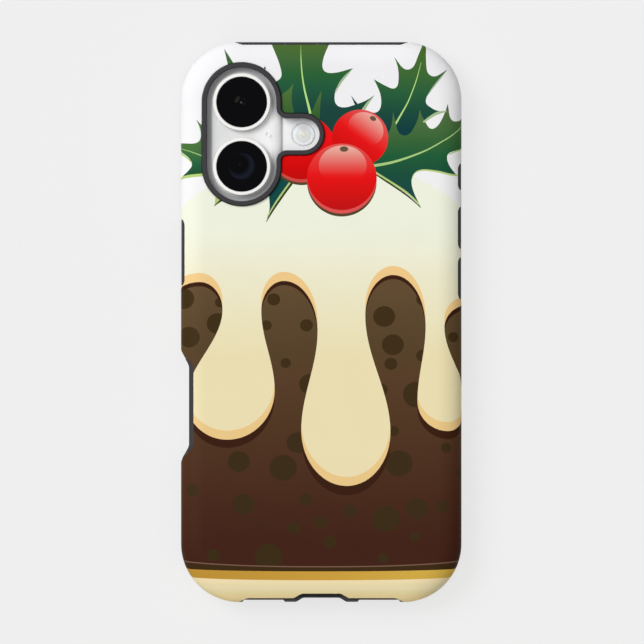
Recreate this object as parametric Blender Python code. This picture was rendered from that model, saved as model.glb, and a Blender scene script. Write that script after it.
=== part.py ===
"""A phone in a two-layer protective case, lying on its screen with the printed back up.

The hard shell wraps the back and the sides. The soft liner under it carries the lip round the
screen, the rim round the camera window, the button covers and the bands at the two ends.
The phone inside has a metal frame, a glass back with a two-lens camera, and a screen.

Origin: the middle of the case, on the surface that it rests on. +X is to the right as seen
from behind the phone, +Y is towards the top of the phone, and +Z is out of the printed back.
"""

import math

import bmesh
import bpy

MM = 0.001

# The phone.
PHONE_HALF_X = 35.8 * MM
PHONE_HALF_Y = 73.8 * MM
PHONE_CORNER = 13.7 * MM
PHONE_THICKNESS = 7.8 * MM
GLASS_THICKNESS = 0.8 * MM
BACK_ROUND = 1.5 * MM
FRONT_ROUND = 1.0 * MM

# The case round it.
WALL = 2.2 * MM
BACK_WALL = 2.8 * MM
LIP_HEIGHT = 1.2 * MM
LIP_REACH = 1.4 * MM
SHELL_THICKNESS = 0.95 * MM
GAP = 0.25 * MM
SEAM = GAP / 2
EDGE_X = 6.8 * MM
EDGE_Z = 4.2 * MM
FLANGE_HEIGHT = 1.5 * MM
FLANGE_ROUND = 0.5 * MM
FLANGE_MIDDLE = FLANGE_HEIGHT / 2

# Heights above the surface and the case's plan, from the sizes above.
SCREEN_Z = LIP_HEIGHT
BACK_Z = SCREEN_Z + PHONE_THICKNESS
BACK_MIDDLE_Z = BACK_Z - GLASS_THICKNESS / 2
CASE_TOP = BACK_Z + BACK_WALL
MIDDLE_Z = SCREEN_Z + PHONE_THICKNESS / 2
CASE_HALF_X = PHONE_HALF_X + WALL
CASE_HALF_Y = PHONE_HALF_Y + WALL
CASE_CORNER = PHONE_CORNER + WALL

# The camera: two lenses in a column on a raised pill, and the flash to the right of them.
LENS_X = -21.5 * MM
CAMERA_Y = 50.75 * MM
LENS_SPACING = 17.4 * MM
FLASH_X = -4.8 * MM
PLATEAU_RADIUS = 10.9 * MM
PLATEAU_HEIGHT = 1.5 * MM
PLATEAU_ROUND = 1.45 * MM
PLATEAU_TOP = BACK_Z + PLATEAU_HEIGHT
LENS_RING_RADIUS = 7.75 * MM
LENS_RING_WIDTH = 0.95 * MM
LENS_RING_HEIGHT = 1.6 * MM
LENS_RING_ROUND = 0.35 * MM
LENS_RING_ROUND_STEPS = 2
LENS_SUNK = 0.25 * MM
FLASH_RADIUS = 3.05 * MM
MIC_RADIUS = 0.5 * MM
MIC_X = LENS_X + 7.5 * MM

# The window round the camera: the liner's rim stands up through a larger hole in the shell.
WINDOW_LENS_RADIUS = 9.4 * MM
WINDOW_FLASH_RADIUS = 4.35 * MM
WINDOW_FILLET = 2.8 * MM
RIM_WIDTH = 1.3 * MM
RIM_FOOT = BACK_Z + 0.55 * MM
RIM_TOP = BACK_Z + 3.6 * MM
RIM_ROUND = 0.35 * MM

# Along the sides: (middle, length) of each button cover, and the finger notch on the left.
RIGHT_COVERS = ((39.3 * MM, 7.3 * MM), (25.5 * MM, 11.5 * MM), (11.8 * MM, 11.5 * MM))
LEFT_COVERS = ((18.8 * MM, 17.9 * MM),)
COVER_LOW = 2.8 * MM
COVER_TOP = CASE_TOP - 2.35 * MM
COVER_ROUND = 1.6 * MM
COVER_SUNK = 0.08 * MM
NOTCH_Y = -22.7 * MM
NOTCH_FLAT = 10.2 * MM
NOTCH_SLOPE = 5.1 * MM
SHELL_NOTCH_DEPTH = 3.4 * MM
KEY_LENGTH = 18.0 * MM
KEY_WIDTH = 2.9 * MM
KEY_DEPTH = 0.6 * MM

# At the ends: the liner's bands, which hump up under the shell's edge, and what is cut there.
# A dip or a hump has half its flat length, the length of each slope, and its depth.
TOP_BAND = (19.8 * MM, 5.0 * MM, 3.6 * MM)
TOP_BAND_Z = CASE_TOP - 2.45 * MM
BOTTOM_BAND = (19.9 * MM, 2.4 * MM, 3.6 * MM)
BOTTOM_BAND_Z = CASE_TOP - 1.95 * MM
SHELL_SCOOP = (4.9 * MM, 2.9 * MM, 1.2 * MM)
SHELL_SCOOP_Z = CASE_TOP - 1.0 * MM
LINER_SCOOP = (4.7 * MM, 2.2 * MM, 1.3 * MM)
SPEAKER_RECESS = (5.3 * MM, 0.6 * MM, 0.75 * MM)
SPEAKER_X = 15.6 * MM
SPEAKER_WINDOW = (5.2 * MM, 1.5 * MM)
PORT_WINDOW = (5.9 * MM, 3.1 * MM)
PORT_HALF = (4.5 * MM, 1.65 * MM)
PORT_DEPTH = 6.5 * MM
TONGUE_HALF = (3.3 * MM, 0.35 * MM)
TONGUE_ROUND = 0.15 * MM
TONGUE_SUNK = 0.9 * MM
SPEAKER_HOLES = 4
SPEAKER_HOLE_PITCH = 2.4 * MM
SPEAKER_HOLE_RADIUS = 0.7 * MM
SPEAKER_HOLE_DEPTH = 1.2 * MM

CORNER_STEPS = 9
EDGE_STEPS = 6
ROUND_STEPS = 3
SMALL_STEPS = 4
SLOPE_STEPS = 5
CIRCLE_STEPS = 32
HOLE_STEPS = 12
OVERSHOOT = 3.0 * MM
SAME_POINT = 0.002 * MM
SHARP_ANGLE = math.radians(32)


# Outlines: lists of (x, y) points that run anticlockwise.
def arc(centre_x, centre_y, radius, start, end, steps):
    """Points on an arc from the start angle to the end angle, in degrees, both ends included."""
    angles = [math.radians(start + (end - start) * k / steps) for k in range(steps + 1)]
    return [(centre_x + radius * math.cos(a), centre_y + radius * math.sin(a)) for a in angles]


def circle(radius, centre=(0, 0), steps=CIRCLE_STEPS):
    return arc(*centre, radius, 0, 360, steps)[:-1]


def rounded_rect(half_x, half_y, radius, steps=CORNER_STEPS, centre=(0, 0)):
    """A rectangle with round corners. With the radius of its short half side it is a stadium."""
    points = []
    for quarter, (side_x, side_y) in enumerate(((1, 1), (-1, 1), (-1, -1), (1, -1))):
        corner_x = centre[0] + side_x * (half_x - radius)
        corner_y = centre[1] + side_y * (half_y - radius)
        corner = arc(corner_x, corner_y, radius, 90 * quarter, 90 * (quarter + 1), steps)
        points += [p for p in corner if not points or math.dist(p, points[-1]) > SAME_POINT]
    return points[:-1] if math.dist(points[0], points[-1]) < SAME_POINT else points


def dip(half_flat, slope, depth, clear):
    """An outline open to +y: flat at -depth, rising over smooth slopes to 0, then on to clear."""
    shares = [k / SLOPE_STEPS for k in range(SLOPE_STEPS + 1)]
    right = [(half_flat + slope * s, -depth * (1 - s * s * (3 - 2 * s))) for s in shares]
    mouth = half_flat + slope
    return right + [(mouth, clear), (-mouth, clear)] + [(-x, y) for x, y in reversed(right)]


def turned(points, quarters):
    """An outline turned anticlockwise about the origin by whole quarters."""
    for _ in range(quarters):
        points = [(-y, x) for x, y in points]
    return points


def moved(points, x, y):
    return [(px + x, py + y) for px, py in points]


def hump(sizes, top, low, grow=0.0):
    """An outline, moved outwards by grow, that is flat at its top and falls over its slopes."""
    half_flat, slope, drop = sizes
    outline = dip(half_flat + grow, slope, drop, top + grow - drop - low)
    return moved(turned(outline, 2), 0, top + grow - drop)


def camera_outline(grow):
    """The camera window's outline, moved outwards by grow: a tall pill with a lobe to the right."""
    pill = WINDOW_LENS_RADIUS + grow
    lobe = WINDOW_FLASH_RADIUS + grow
    fillet = WINDOW_FILLET - grow
    fillet_x = LENS_X + pill + fillet
    rise = LENS_SPACING / 2
    points = arc(FLASH_X, CAMERA_Y, lobe, -90, 90, 2 * SMALL_STEPS)
    points += arc(fillet_x, CAMERA_Y + lobe + fillet, fillet, 270, 180, SMALL_STEPS)
    points += arc(LENS_X, CAMERA_Y + rise, pill, 0, 180, 2 * CORNER_STEPS)
    points += arc(LENS_X, CAMERA_Y - rise, pill, 180, 360, 2 * CORNER_STEPS)
    points += arc(fillet_x, CAMERA_Y - lobe - fillet, fillet, 180, 90, SMALL_STEPS)
    return points


# Solids.
def material(name, colour, roughness, metallic=0.0):
    made = bpy.data.materials.new(name)
    made.use_nodes = True
    shader = made.node_tree.nodes["Principled BSDF"]
    shader.inputs["Base Color"].default_value = (*colour, 1)
    shader.inputs["Roughness"].default_value = roughness
    shader.inputs["Metallic"].default_value = metallic
    made.diffuse_color = (*colour, 1)
    return made


def loft(name, layers, finish=None, along="Z", ring=False):
    """A solid through layers, each an outline and its height along the named axis.

    The ends are filled, or with ring set the last layer is joined to the first.
    A solid with no finish is a helper, which isn't part of the object.
    """
    place = {
        "X": lambda u, v, w: (w, u, v),
        "Y": lambda u, v, w: (u, w, v),
        "Z": lambda u, v, w: (u, v, w),
    }[along]
    bm = bmesh.new()
    loops = [[bm.verts.new(place(u, v, height)) for u, v in outline] for outline, height in layers]
    for low, high in zip(loops, loops[1:] + loops[:1] if ring else loops[1:]):
        for k in range(len(low)):
            bm.faces.new((low[k - 1], low[k], high[k], high[k - 1]))
    if not ring:
        bm.faces.new(loops[0])
        bm.faces.new(loops[-1])
    bmesh.ops.recalc_face_normals(bm, faces=bm.faces)
    mesh = bpy.data.meshes.new(name)
    bm.to_mesh(mesh)
    bm.free()
    mesh.shade_smooth()
    mesh.set_sharp_from_angle(angle=SHARP_ANGLE)
    made = bpy.data.objects.new(name, mesh)
    bpy.context.collection.objects.link(made)
    if finish:
        mesh.materials.append(finish)
    else:
        made.hide_render = True
        made.display_type = "WIRE"
    return made


def prism(name, outline, low, high, along="Z"):
    return loft(name, [(outline, low), (outline, high)], along=along)


def combine(target, operation, *others):
    for other in others:
        modifier = target.modifiers.new(f"{operation.lower()} {other.name}", "BOOLEAN")
        modifier.operation = operation
        modifier.solver = "EXACT"
        modifier.object = other


def quarter_round(radius, grow=0.0, steps=ROUND_STEPS):
    """(inset, rise) pairs round a convex edge of this radius, moved outwards by grow."""
    angles = [math.pi / 2 * k / steps for k in range(steps + 1)]
    return [
        (radius - (radius + grow) * math.cos(a), (radius + grow) * math.sin(a)) for a in angles
    ]


def case_outline(inset):
    return rounded_rect(CASE_HALF_X - inset, CASE_HALF_Y - inset, CASE_CORNER - inset)


def case_body(name, depth, foot, finish=None):
    """The case's outer form, moved inwards by depth, from the height foot up to its back."""
    layers = [(case_outline(depth), foot)]
    for step in range(EDGE_STEPS + 1):
        angle = math.pi / 2 * step / EDGE_STEPS
        out_x, out_z = math.cos(angle) / EDGE_X, math.sin(angle) / EDGE_Z
        share = depth / math.hypot(out_x, out_z)
        inset = EDGE_X * (1 - math.cos(angle)) + share * out_x
        height = CASE_TOP - EDGE_Z * (1 - math.sin(angle)) - share * out_z
        layers.append((case_outline(inset), height))
    return loft(name, layers, finish)


def phone_slice(name, low, high, grow=0.0, finish=None):
    """The phone's body, moved outwards by grow, between two heights."""
    front = SCREEN_Z + FRONT_ROUND
    back = BACK_Z - BACK_ROUND
    pairs = [(i, front - rise) for i, rise in reversed(quarter_round(FRONT_ROUND, grow))]
    pairs += [(i, back + rise) for i, rise in quarter_round(BACK_ROUND, grow)]
    kept = [(inset, height) for inset, height in pairs if low < height < high]
    for level in (low, high):
        for (i0, z0), (i1, z1) in zip(pairs, pairs[1:]):
            if z0 - SAME_POINT <= level <= z1 + SAME_POINT:
                kept.append((i0 + (i1 - i0) * (level - z0) / (z1 - z0), level))
                break
    layers = []
    for inset, height in sorted(kept, key=lambda pair: pair[1]):
        half = (PHONE_HALF_X - inset, PHONE_HALF_Y - inset)
        layers.append((rounded_rect(*half, PHONE_CORNER - inset), height))
    return loft(name, layers, finish)


def plateau(name, foot, grow=0.0):
    """The camera's raised pill, moved outwards by grow, from the height foot."""
    layers = []
    sides = quarter_round(PLATEAU_ROUND, grow)
    for inset, height in [(sides[0][0], foot - PLATEAU_TOP + PLATEAU_ROUND), *sides]:
        radius = PLATEAU_RADIUS - inset
        outline = rounded_rect(
            radius, LENS_SPACING / 2 + radius, radius, centre=(LENS_X, CAMERA_Y)
        )
        layers.append((outline, PLATEAU_TOP - PLATEAU_ROUND + height))
    return loft(name, layers)


def side_blocks(name, grow, low):
    """Blocks through the walls at the button covers and at the end bands, larger by grow.

    The bands' blocks start at the height low.
    """
    blocks = []
    covers = [(1, *cover) for cover in RIGHT_COVERS] + [(-1, *cover) for cover in LEFT_COVERS]
    half_z, middle_z = (COVER_TOP - COVER_LOW) / 2, (COVER_TOP + COVER_LOW) / 2
    for number, (side, middle, length) in enumerate(covers):
        half = (length / 2 + grow, half_z + grow)
        outline = rounded_rect(*half, COVER_ROUND + grow, SMALL_STEPS, (middle, middle_z))
        reach = sorted((side * (PHONE_HALF_X - GAP), side * (CASE_HALF_X + OVERSHOOT)))
        blocks.append(prism(f"{name} cover {number}", outline, *reach, along="X"))
    for side, sizes, top in ((1, TOP_BAND, TOP_BAND_Z), (-1, BOTTOM_BAND, BOTTOM_BAND_Z)):
        reach = sorted((side * (PHONE_HALF_Y - GAP), side * (CASE_HALF_Y + OVERSHOOT)))
        outline = hump(sizes, top, low, grow)
        blocks.append(prism(f"{name} band {side}", outline, *reach, along="Y"))
    return blocks


def notch_cutter(name, depth, top):
    """The finger notch in the left side, this deep from the case's side."""
    outline = turned(dip(NOTCH_FLAT, NOTCH_SLOPE, depth, OVERSHOOT), 1)
    return prism(name, moved(outline, -CASE_HALF_X, NOTCH_Y), -OVERSHOOT, top)


def make_shell(finish):
    """The hard printed outer layer, with its camera window, slots, notch and scoop."""
    shell = case_body("shell", 0, FLANGE_HEIGHT + GAP, finish)
    hollow = case_body("shell hollow", SHELL_THICKNESS, -OVERSHOOT)
    window = prism("shell window", camera_outline(RIM_WIDTH + GAP), BACK_Z, RIM_TOP + OVERSHOOT)
    scoop_outline = hump(SHELL_SCOOP, SHELL_SCOOP_Z, -OVERSHOOT)
    reach = (-CASE_HALF_Y - OVERSHOOT, GAP - PHONE_HALF_Y)
    scoop = prism("shell scoop", scoop_outline, *reach, along="Y")
    notch = notch_cutter("shell notch", SHELL_NOTCH_DEPTH, RIM_TOP + OVERSHOOT)
    slots = side_blocks("slot", GAP, -OVERSHOOT)
    combine(shell, "DIFFERENCE", hollow, window, *slots, scoop, notch)


def make_liner(finish):
    """The soft inner layer: a tray with the lip, the camera rim, the covers and the bands."""
    liner = case_body("liner", SHELL_THICKNESS + GAP, FLANGE_MIDDLE, finish)
    flange_layers = [
        (case_outline(inset), FLANGE_ROUND - rise)
        for inset, rise in reversed(quarter_round(FLANGE_ROUND))
    ]
    flange = loft("flange", flange_layers + [(case_outline(0), FLANGE_HEIGHT)])
    rim_layers = [(camera_outline(RIM_WIDTH), RIM_FOOT)]
    for inset, rise in quarter_round(RIM_ROUND):
        rim_layers.append((camera_outline(RIM_WIDTH - inset), RIM_TOP - RIM_ROUND + rise))
    rim = loft("rim", rim_layers)
    covers = side_blocks("cover", 0.0, FLANGE_MIDDLE)
    for cover in covers:
        combine(cover, "INTERSECT", case_body(f"{cover.name} face", COVER_SUNK, 0.0))
    combine(liner, "UNION", flange, rim, *covers)

    cavity = phone_slice("cavity", SCREEN_Z - GAP, BACK_Z + GAP, GAP)
    lip_half = (PHONE_HALF_X - LIP_REACH, PHONE_HALF_Y - LIP_REACH)
    lip_outline = rounded_rect(*lip_half, PHONE_CORNER - LIP_REACH)
    opening = prism("lip opening", lip_outline, -OVERSHOOT, MIDDLE_Z)
    window = prism("rim window", camera_outline(0), MIDDLE_Z, RIM_TOP + OVERSHOOT)
    notch = notch_cutter("liner notch", WALL, RIM_TOP)
    combine(liner, "DIFFERENCE", cavity, opening, window, plateau("camera room", MIDDLE_Z, GAP))
    combine(liner, "DIFFERENCE", notch)
    recesses = [("scoop", 0, LINER_SCOOP)]
    recesses += [(f"recess {side}", side * SPEAKER_X, SPEAKER_RECESS) for side in (-1, 1)]
    for label, x, sizes in recesses:
        outline = moved(turned(dip(*sizes, OVERSHOOT), 2), x, -CASE_HALF_Y)
        combine(liner, "DIFFERENCE", prism(label, outline, -OVERSHOOT, RIM_TOP))
    holes = [("port", 0, PORT_WINDOW)]
    holes += [(f"speaker {side}", side * SPEAKER_X, SPEAKER_WINDOW) for side in (-1, 1)]
    for label, x, half in holes:
        outline = rounded_rect(*half, half[1], 2 * SMALL_STEPS, (x, MIDDLE_Z))
        hole = prism(f"{label} window", outline, -CASE_HALF_Y - OVERSHOOT, GAP - PHONE_HALF_Y, "Y")
        combine(liner, "DIFFERENCE", hole)


def make_phone(frame_finish, back_finish, screen_finish, key_finish, dark_finish):
    """The phone's body: metal frame, glass back with the camera's raised pill, and screen."""
    joint = GLASS_THICKNESS + SEAM
    phone_slice("screen_glass", SCREEN_Z, SCREEN_Z + GLASS_THICKNESS, finish=screen_finish)
    frame = phone_slice("phone_frame", SCREEN_Z + joint, BACK_Z - joint, finish=frame_finish)

    key_half = (KEY_LENGTH / 2, KEY_WIDTH / 2)
    key_centre = (NOTCH_Y, MIDDLE_Z)
    pocket_half = (key_half[0] + GAP, key_half[1] + GAP)
    pocket_outline = rounded_rect(*pocket_half, pocket_half[1], SMALL_STEPS, key_centre)
    pocket_end = KEY_DEPTH + GAP - PHONE_HALF_X
    pocket = prism("key pocket", pocket_outline, -PHONE_HALF_X - OVERSHOOT, pocket_end, "X")
    key_outline = rounded_rect(*key_half, key_half[1], SMALL_STEPS, key_centre)
    key_reach = (-PHONE_HALF_X, KEY_DEPTH - PHONE_HALF_X)
    loft("camera_key", [(key_outline, x) for x in key_reach], key_finish, along="X")

    mouth = -PHONE_HALF_Y - OVERSHOOT
    port_outline = rounded_rect(*PORT_HALF, PORT_HALF[1], SMALL_STEPS, (0, MIDDLE_Z))
    port = prism("port pocket", port_outline, mouth, PORT_DEPTH - PHONE_HALF_Y, "Y")
    combine(frame, "DIFFERENCE", pocket, port)
    first = SPEAKER_X - SPEAKER_HOLE_PITCH * (SPEAKER_HOLES - 1) / 2
    for side in (-1, 1):
        for number in range(SPEAKER_HOLES):
            centre = (side * (first + SPEAKER_HOLE_PITCH * number), MIDDLE_Z)
            outline = circle(SPEAKER_HOLE_RADIUS, centre, HOLE_STEPS)
            end = SPEAKER_HOLE_DEPTH - PHONE_HALF_Y
            hole = prism(f"speaker hole {side} {number}", outline, mouth, end, "Y")
            combine(frame, "DIFFERENCE", hole)
    tongue = rounded_rect(*TONGUE_HALF, TONGUE_ROUND, 1, (0, MIDDLE_Z))
    tongue_reach = (TONGUE_SUNK - PHONE_HALF_Y, PORT_DEPTH - GAP - PHONE_HALF_Y)
    loft("port_tongue", [(tongue, y) for y in tongue_reach], dark_finish, along="Y")

    back = phone_slice("back_glass", BACK_Z - GLASS_THICKNESS, BACK_Z, finish=back_finish)
    combine(back, "UNION", plateau("plateau", BACK_MIDDLE_Z))
    mic_outline = circle(MIC_RADIUS, (MIC_X, CAMERA_Y), HOLE_STEPS)
    mic = prism("mic hole", mic_outline, BACK_Z, PLATEAU_TOP + OVERSHOOT)
    flash_outline = circle(FLASH_RADIUS + GAP, (FLASH_X, CAMERA_Y))
    flash_room = prism("flash room", flash_outline, BACK_MIDDLE_Z, RIM_TOP)
    combine(back, "DIFFERENCE", mic, flash_room)


def make_camera(ring_finish, glass_finish, flash_finish):
    """The two lens rings with their black cover glasses, and the flash's lens."""
    low = PLATEAU_TOP + SEAM
    high = PLATEAU_TOP + LENS_RING_HEIGHT
    bore = LENS_RING_RADIUS - LENS_RING_WIDTH
    section = [(LENS_RING_RADIUS, low)]
    for inset, rise in quarter_round(LENS_RING_ROUND, steps=LENS_RING_ROUND_STEPS):
        section.append((LENS_RING_RADIUS - inset, high - LENS_RING_ROUND + rise))
    section += [(bore + GAP, high), (bore, high - GAP), (bore, low)]
    for label, side in (("upper", 1), ("lower", -1)):
        centre = (LENS_X, CAMERA_Y + side * LENS_SPACING / 2)
        layers = [(circle(radius, centre), height) for radius, height in section]
        loft(f"lens_ring_{label}", layers, ring_finish, ring=True)
        glass = [(circle(bore - SEAM, centre), height) for height in (low, high - LENS_SUNK)]
        loft(f"lens_glass_{label}", glass, glass_finish)
    flash_reach = (BACK_MIDDLE_Z + SEAM, BACK_Z)
    flash = [(circle(FLASH_RADIUS, (FLASH_X, CAMERA_Y)), height) for height in flash_reach]
    loft("flash_lens", flash, flash_finish)


def main():
    for old in list(bpy.data.objects):
        bpy.data.objects.remove(old)
    metal = material("silver metal", (0.72, 0.72, 0.73), 0.32, 1.0)
    black_plastic = material("black plastic", (0.02, 0.02, 0.022), 0.5)
    white_glass = material("white glass", (0.82, 0.82, 0.83), 0.2)
    black_glass = material("black glass", (0.006, 0.006, 0.008), 0.05)
    make_shell(material("printed hard shell", (0.80, 0.74, 0.58), 0.25))
    make_liner(material("charcoal rubber", (0.065, 0.063, 0.067), 0.6))
    make_phone(metal, white_glass, black_glass, metal, black_plastic)
    make_camera(material("polished rim", (0.85, 0.84, 0.82), 0.2, 1.0), black_glass, white_glass)


main()
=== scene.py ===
"""The looks of a phone in its two-layer case, whose back is printed with an iced Christmas pudding.

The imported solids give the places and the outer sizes. Each visible piece is made again here as a
fine mesh, in millimetres, and gets its finish. The print is drawn in a plane that follows the
case's plan as far as its rounded edge and then wraps down the sides.

+X is to the right as seen from behind the phone, +Y towards its top, +Z out of the printed back.
"""

import math

import bmesh
import bpy
import numpy as np
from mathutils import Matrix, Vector
from mathutils.geometry import delaunay_2d_cdt


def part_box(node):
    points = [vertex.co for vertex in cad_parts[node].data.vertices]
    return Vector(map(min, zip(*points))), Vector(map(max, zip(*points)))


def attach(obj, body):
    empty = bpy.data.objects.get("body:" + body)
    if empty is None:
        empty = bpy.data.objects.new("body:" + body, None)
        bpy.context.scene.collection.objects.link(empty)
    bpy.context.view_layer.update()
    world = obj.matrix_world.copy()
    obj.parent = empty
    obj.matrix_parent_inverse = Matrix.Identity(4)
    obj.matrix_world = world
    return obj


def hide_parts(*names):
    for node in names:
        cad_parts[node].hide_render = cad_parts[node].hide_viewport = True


MM = 0.001

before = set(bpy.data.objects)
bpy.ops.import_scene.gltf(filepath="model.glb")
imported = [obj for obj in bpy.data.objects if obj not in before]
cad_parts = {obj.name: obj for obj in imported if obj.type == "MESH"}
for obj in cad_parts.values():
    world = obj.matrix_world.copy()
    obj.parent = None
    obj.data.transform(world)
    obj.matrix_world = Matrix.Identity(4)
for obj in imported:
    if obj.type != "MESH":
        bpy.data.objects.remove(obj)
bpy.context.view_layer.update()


def corners(node):
    """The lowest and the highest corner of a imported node, in millimetres."""
    low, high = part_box(node)
    return np.array(low) / MM, np.array(high) / MM


# The case, from the frame and from the sizes that its boxes don't tell. GAP is between its two
# layers, and RIM_GAP is between the shell and the rim round the camera's window.
SHELL_LOW, SHELL_HIGH = corners("shell")
CASE_HALF_X, CASE_HALF_Y, CASE_TOP = SHELL_HIGH
SHELL_FOOT = SHELL_LOW[2]
CASE_CORNER = 15.9
EDGE_X = 6.8
EDGE_Z = 4.2
SHELL_THICKNESS = 0.95
SHELL_ROUND = 0.18
GAP = 0.25
RIM_GAP = 0.08
WALL = 2.2
FLAT_RADIUS = CASE_CORNER - EDGE_X
CORE = np.array((CASE_HALF_X - CASE_CORNER, CASE_HALF_Y - CASE_CORNER))
FLAT_HALF_X = CORE[0] + FLAT_RADIUS
PLAN_INSET = 0.5

# The camera and the window round it.
RING_LOW, RING_HIGH = corners("lens_ring_upper")
LENS_X = (RING_LOW[0] + RING_HIGH[0]) / 2
LENS_UPPER_Y = (RING_LOW[1] + RING_HIGH[1]) / 2
FLASH_LOW, FLASH_HIGH = corners("flash_lens")
FLASH_X = (FLASH_LOW[0] + FLASH_HIGH[0]) / 2
CAMERA_Y = (FLASH_LOW[1] + FLASH_HIGH[1]) / 2
LENS_RISE = LENS_UPPER_Y - CAMERA_Y
WINDOW_LENS_RADIUS = 9.4
WINDOW_FLASH_RADIUS = 4.35
WINDOW_FILLET = 2.8
RIM_WIDTH = 1.3

# Along the sides and at the ends. A cover is its middle and its length. A band, scoop or recess is
# half the length of its flat, the length of each slope, and its depth.
RIGHT_COVERS = ((39.3, 7.3), (25.5, 11.5), (11.8, 11.5))
LEFT_COVERS = ((18.8, 17.9),)
COVER_LOW = 2.8
COVER_TOP = CASE_TOP - 2.35
COVER_ROUND = 1.6
NOTCH_Y = -22.7
NOTCH_FLAT = 10.2
NOTCH_SLOPE = 5.1
SHELL_NOTCH_DEPTH = 3.4
TOP_BAND = (20.8, 6.0, 3.6)
TOP_BAND_Z = CASE_TOP - 2.45
BOTTOM_BAND = (19.4, 6.0, 3.6)
BOTTOM_BAND_Z = CASE_TOP - 2.15
SHELL_SCOOP = (4.9, 3.9, 1.2)
SHELL_SCOOP_Z = CASE_TOP - 1.0

# The phone and what is cut in the liner, in the same way. A window or a half is half its length and
# half its width, and a dimple is its middle and its radius.
PHONE_HALF_X = CASE_HALF_X - WALL
PHONE_HALF_Y = CASE_HALF_Y - WALL
PHONE_CORNER = CASE_CORNER - WALL
SCREEN_Z = corners("screen_glass")[0][2]
BACK_Z = corners("flash_lens")[1][2]
PLATEAU_TOP = corners("back_glass")[1][2]
RIM_TOP = corners("liner")[1][2]
RING_TOP = RING_HIGH[2]
MIDDLE_Z = (SCREEN_Z + BACK_Z) / 2
GLASS_THICKNESS = 0.8
BACK_ROUND = 1.5
FRONT_ROUND = 1.0
FRONT_Z = SCREEN_Z + FRONT_ROUND
BACK_EDGE_Z = BACK_Z - BACK_ROUND
SEAM = GAP / 2
FLANGE_HEIGHT = 1.5
FLANGE_ROUND = 0.5
COVER_SUNK = 0.08
COVER_EDGE = 0.3
LIP_REACH = 1.4
PLATEAU_RADIUS = 10.9
PLATEAU_ROUND = 1.45
PLATEAU_SHOULDER = 3.1
PLATEAU_STEPS = 18
RIM_FOOT = BACK_Z + 0.55
RIM_ROUND = 0.35
KEY_HALF = (9.0, 1.45)
KEY_DEPTH = 0.6
LINER_SCOOP = (4.6, 2.8, 1.3)
SPEAKER_RECESS = (5.3, 0.6, 0.75)
SPEAKER_X = 15.6
SPEAKER_WINDOW = (5.2, 1.5)
PORT_WINDOW = (5.9, 3.1)
PORT_HALF = (4.5, 1.65)
PORT_DEPTH = 6.5
TONGUE_HALF = (3.3, 0.35)
TONGUE_ROUND = 0.15
TONGUE_SUNK = 0.9
SPEAKER_HOLES = 4
SPEAKER_HOLE_PITCH = 2.4
SPEAKER_HOLE_RADIUS = 0.7
SPEAKER_HOLE_DEPTH = 1.2
LENS_RING_RADIUS = (RING_HIGH[0] - RING_LOW[0]) / 2
LENS_RING_WIDTH = 0.87
LENS_RING_ROUND = 0.12
LENS_RING_CHAMFER = 0.06
LENS_SUNK = 0.25
FLASH_RADIUS = (FLASH_HIGH[0] - FLASH_LOW[0]) / 2
MIC_DIMPLES = ((LENS_X + 7.0, CAMERA_Y, 0.5), (LENS_X + 7.95, CAMERA_Y - 0.65, 0.42))
MIC_DEPTH = 0.5
DISPLAY_INSET = 2.2
DISPLAY_SUNK = 0.02
KEY_EDGE = 0.25
TINY_OVERLAP = 0.05
LENS_EDGE = 0.15
FLASH_STEP = 0.2
FLASH_CHAMFER = (0.1, 0.06)
FLASH_BORDER = 0.45
FLASH_EYE = 0.7
FLASH_EYE_ANGLES = np.linspace(0, 84, 8)
FLASH_PITCH = 0.28
FLASH_GROOVE = 0.09
GROOVE_FALL = 0.06
GROOVE_GAP = 0.02

# The phone's back by height: the white glass, then painted shade in darker tones up the pill's
# shoulder and a painted dark line at its top edge, then its top, which is darker than the glass.
# Round the flash a patch of painted light lifts that shade: a middle, a colour, and the radii where
# that is whole and where it has gone.
BACK_COLOURS_AND_PAINTED_SHADE = {
    BACK_Z: (252, 252, 253), BACK_Z + 0.3: (204, 205, 206), PLATEAU_TOP - 0.3: (183, 184, 185),
    PLATEAU_TOP - 0.16: (188, 189, 190), PLATEAU_TOP - 0.04: (164, 165, 167),
    PLATEAU_TOP - 0.01: (170, 171, 172), PLATEAU_TOP - 0.002: (219, 220, 220),
    PLATEAU_TOP: (219, 220, 220),
}
PAINTED_LIGHT_MIDDLE = (LENS_X + PLATEAU_RADIUS, CAMERA_Y)
PAINTED_LIGHT_COLOUR = (244, 244, 245)
PAINTED_LIGHT_RADII = (4.0, 9.0)
# The flash lens out from its middle: its own pale yellow middle, then lighter and darker rings of
# painted light and shade.
FLASH_COLOURS_AND_PAINTED_LIGHT = {
    0: (231, 229, 215), 0.6: (229, 228, 220), 1.4: (230, 231, 230), 1.8: (222, 226, 227),
    2.2: (238, 241, 242), 2.6: (246, 248, 249), 2.95: (224, 229, 231),
}

# Painted glints and a painted reflection on each lens: which one, its place from the lens's
# middle, radius, squeeze and tilt. The painted reflection in blue shows by its distance from a
# point that is off the middle.
LENS_BLACK = (0.0022, 0.0022, 0.0034)
BLUE_REFLECTION_OFFSET = (-0.85, 0.65)
PAINTED_LENS_GLINTS = {
    "upper": (
        ("brown", (-1.2, 0.7), 1.05, 0.5, 58), ("grey", (-0.12, -0.13), 0.34, 1.0, 0),
        ("faint", (0.75, -0.55), 0.32, 0.8, 0), ("faint", (0.6, 0.8), 0.25, 1.0, 0),
    ),
    "lower": (("blue", (0.0, 0.0), 3.55, 1.0, 0), ("faint", (-0.5, 0.5), 0.28, 1.0, 0)),
}

# The studio: a soft sun from the upper left, a sky that is bright overhead, and the view from above.
SUN_FROM = (-0.58, 0.36, 0.73)
SUN_POWER = 2.05
SUN_WIDTH = 35
SKY_SIDE = 0.03
SKY_TOP = 0.95
SKY_TURN = (0.5, 0.9)
FLOOR_GLOW = 0.727
FLOOR_REACH = 3000
LENS = 300
VIEW_WIDTH = 174.5
VIEW_X = 0.2
VIEW_Z = 8.0
CLIP_END = 10

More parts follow.
